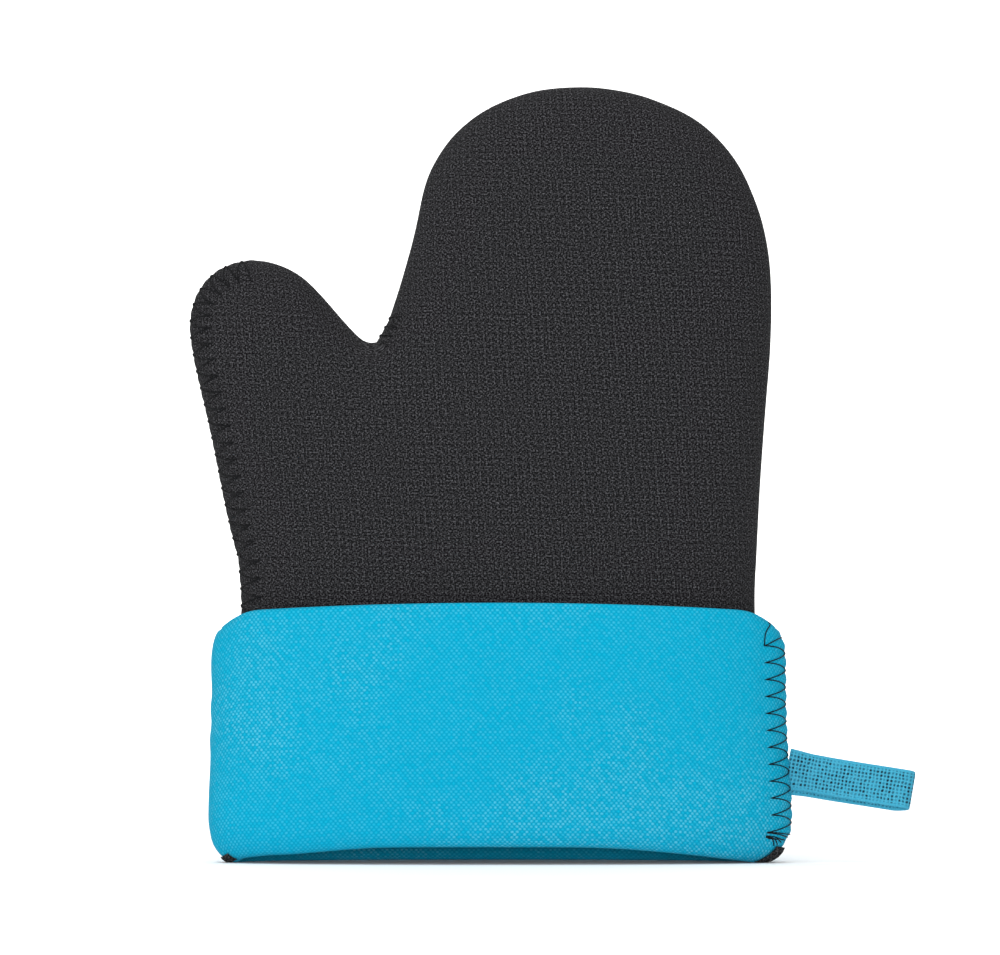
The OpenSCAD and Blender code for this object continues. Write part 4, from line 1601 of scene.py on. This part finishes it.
@dataclass(frozen=True)
class WovenTape:
    """An open-woven tape with small holes and firm edges."""

    name: str
    wide: float
    pitch: float
    base: tuple
    hole: tuple
    light: tuple

    def make(self) -> bpy.types.Material:
        """Build the material.

        Returns:
            The material, whose holes are dark dots on a square grid and whose edges are plain ribs.
        """
        g = Graph(self.name)
        uv = Sock(g, g.node("UVMap", {"uv_map": "cloth"}).outputs[0])
        at = Sock(g, g.node("TexCoord").outputs["Object"])
        parts = g.node("SeparateXYZ", None, {0: uv})
        u, v = Sock(g, parts.outputs[0]), Sock(g, parts.outputs[1])
        wob = (g.noise(at, 520.0) - 0.5) * 0.7
        fu = g.math("FRACT", u / self.pitch + wob) - 0.5
        fv = g.math("FRACT", v / self.pitch + wob * 0.7) - 0.5
        far = g.math("SQRT", fu * fu + fv * fv * 0.8)
        inside = 1 - g.ramp(abs(v), self.wide * 0.39, self.wide * 0.45)
        which = {0: g.math("FLOOR", u / self.pitch), 1: g.math("FLOOR", v / self.pitch)}
        cell = Sock(g, g.node("CombineXYZ", None, which).outputs[0])
        chance = Sock(g, g.node("TexWhiteNoise", {"noise_dimensions": "2D"}, {"Vector": cell}).outputs[0])
        hole = (1 - g.ramp(far, 0.14, 0.44)) * inside * (0.40 + 0.75 * chance)
        rib = g.math("SINE", u * (2 * math.pi / 0.55)) * 0.5 + 0.5
        fibre = g.noise(at, 2200.0, 3.0)
        colour = g.blend((fibre - 0.4) * 0.8, self.base, self.light)
        colour = g.blend(hole * 0.95, colour, self.hole)
        height = (1 - hole) * 0.30 + rib * (1 - inside) * 0.10 + fibre * 0.10
        return g.finish({"Base Color": colour, "Roughness": 0.82, "Specular IOR Level": 0.2,
                         "Sheen Weight": 0.03, "Sheen Roughness": 0.5}, height, 0.9)


@dataclass(frozen=True)
class Thread:
    """Twisted sewing thread."""

    name: str
    colour: tuple

    def make(self) -> bpy.types.Material:
        """Build the material.

        Returns:
            The material.
        """
        g = Graph(self.name)
        at = Sock(g, g.node("TexCoord").outputs["Object"])
        fibre = g.noise(at, 2600.0, 2.0)
        return g.finish({"Base Color": self.colour, "Roughness": 0.55 + (fibre - 0.5) * 0.3,
                         "Specular IOR Level": 0.12}, fibre * 0.2, 0.6)


def linear(r: float, g: float, b: float) -> tuple:
    """Turn red, green and blue on the usual 0..255 scale into light, with alpha 1."""
    c = np.array([r, g, b]) / 255
    return (*np.where(c <= 0.04045, c / 12.92, ((c + 0.055) / 1.055) ** 2.4).tolist(), 1.0)


class Studio:
    """A white sweep, soft lamps and the camera."""

    DISTANCE = 3.389
    LENS = 400.0
    AIM = 0.1174
    WORLD = 0.45
    LAMPS = (
        ("key", (-0.35, -2.4, 0.78), 0.9, 16.0),
        ("low", (0.1, -2.6, 0.12), 0.4, 32.0),
        ("top", (-0.2, -0.5, 2.4), 1.8, 34.0),
        ("side", (-2.2, -1.1, 0.4), 0.9, 9.0),
        ("back", (0.0, 2.0, 2.2), 3.0, 110.0),
    )

    def build(self) -> None:
        """Set the room up."""
        scene = bpy.context.scene
        x = np.linspace(-6, 6, 3)
        profile = [(-6.0, 0.0), (3.0, 0.0), (3.6, 0.16), (3.9, 0.6), (4.0, 1.4), (4.0, 6.0)]
        grid = np.array([[(a, b, c) for a in x] for b, c in profile]) / MM
        skin = Skin([grid], [False])
        floor = make_mesh("floor", skin.points, skin.quads)
        g = Graph("paper")
        floor.data.materials.append(g.finish({"Base Color": (0.93, 0.93, 0.93, 1), "Roughness": 0.9,
                                              "Specular IOR Level": 0.1}))
        world = bpy.data.worlds.new("room")
        world.use_nodes = True
        world.node_tree.nodes["Background"].inputs[0].default_value = (1, 1, 1, 1)
        world.node_tree.nodes["Background"].inputs[1].default_value = self.WORLD
        scene.world = world
        for name, place, size, power in self.LAMPS:
            lamp = bpy.data.lights.new(name, "AREA")
            lamp.shape, lamp.size, lamp.energy = "SQUARE", size, power
            obj = bpy.data.objects.new(name, lamp)
            scene.collection.objects.link(obj)
            obj.location = place
            target = Vector((0, 3.6, 0.3)) if name == "back" else Vector((0, 0, 0.1))
            obj.rotation_euler = (target - Vector(place)).to_track_quat("-Z", "Y").to_euler()
        view = scene.view_settings
        view.view_transform, view.look, view.exposure, view.gamma = "Standard", "None", 0.0, 1.0
        cam = bpy.data.cameras.new("camera")
        cam.lens, cam.sensor_width, cam.clip_end = self.LENS, 36.0, 40.0
        obj = bpy.data.objects.new("camera", cam)
        obj.location = (0.0, -self.DISTANCE, self.AIM)
        obj.rotation_euler = (math.pi / 2, 0, 0)
        scene.collection.objects.link(obj)
        scene.camera = obj


def main() -> None:
    """Build the mitt, dress it and note its size."""
    logging.basicConfig(level=logging.INFO, format="%(name)s: %(message)s")
    sizes = Sizes.read()
    log.info("sizes %s", sizes)
    knit = GridKnit("charcoal knit", 2.23, 2.0, 2.1, linear(46, 46, 48), linear(78, 78, 81),
                    linear(9, 9, 11)).make()
    lining = DottedJersey("blue lining", 1.47, 0.82, linear(8, 156, 188), linear(122, 192, 210),
                          linear(0, 138, 170)).make()
    tape = WovenTape("blue tape", 11.7, 1.12, linear(48, 146, 176), linear(0, 30, 44),
                     linear(110, 186, 206)).make()
    thread = Thread("black thread", linear(7, 8, 11)).make()
    pattern = Pattern(sizes)
    log.info("pattern laid")
    hand = Hand(pattern)
    hand.build()
    hand.threads()
    hand.dress(knit, lining, thread)
    log.info("hand built")
    cuff = Cuff(sizes, pattern)
    cuff.build()
    cuff.threads()
    cuff.dress(knit, lining, thread)
    log.info("cuff built")
    loop = HangingLoop()
    loop.build()
    loop.dress(tape)
    Studio().build()


if __name__ == "__main__":
    main()
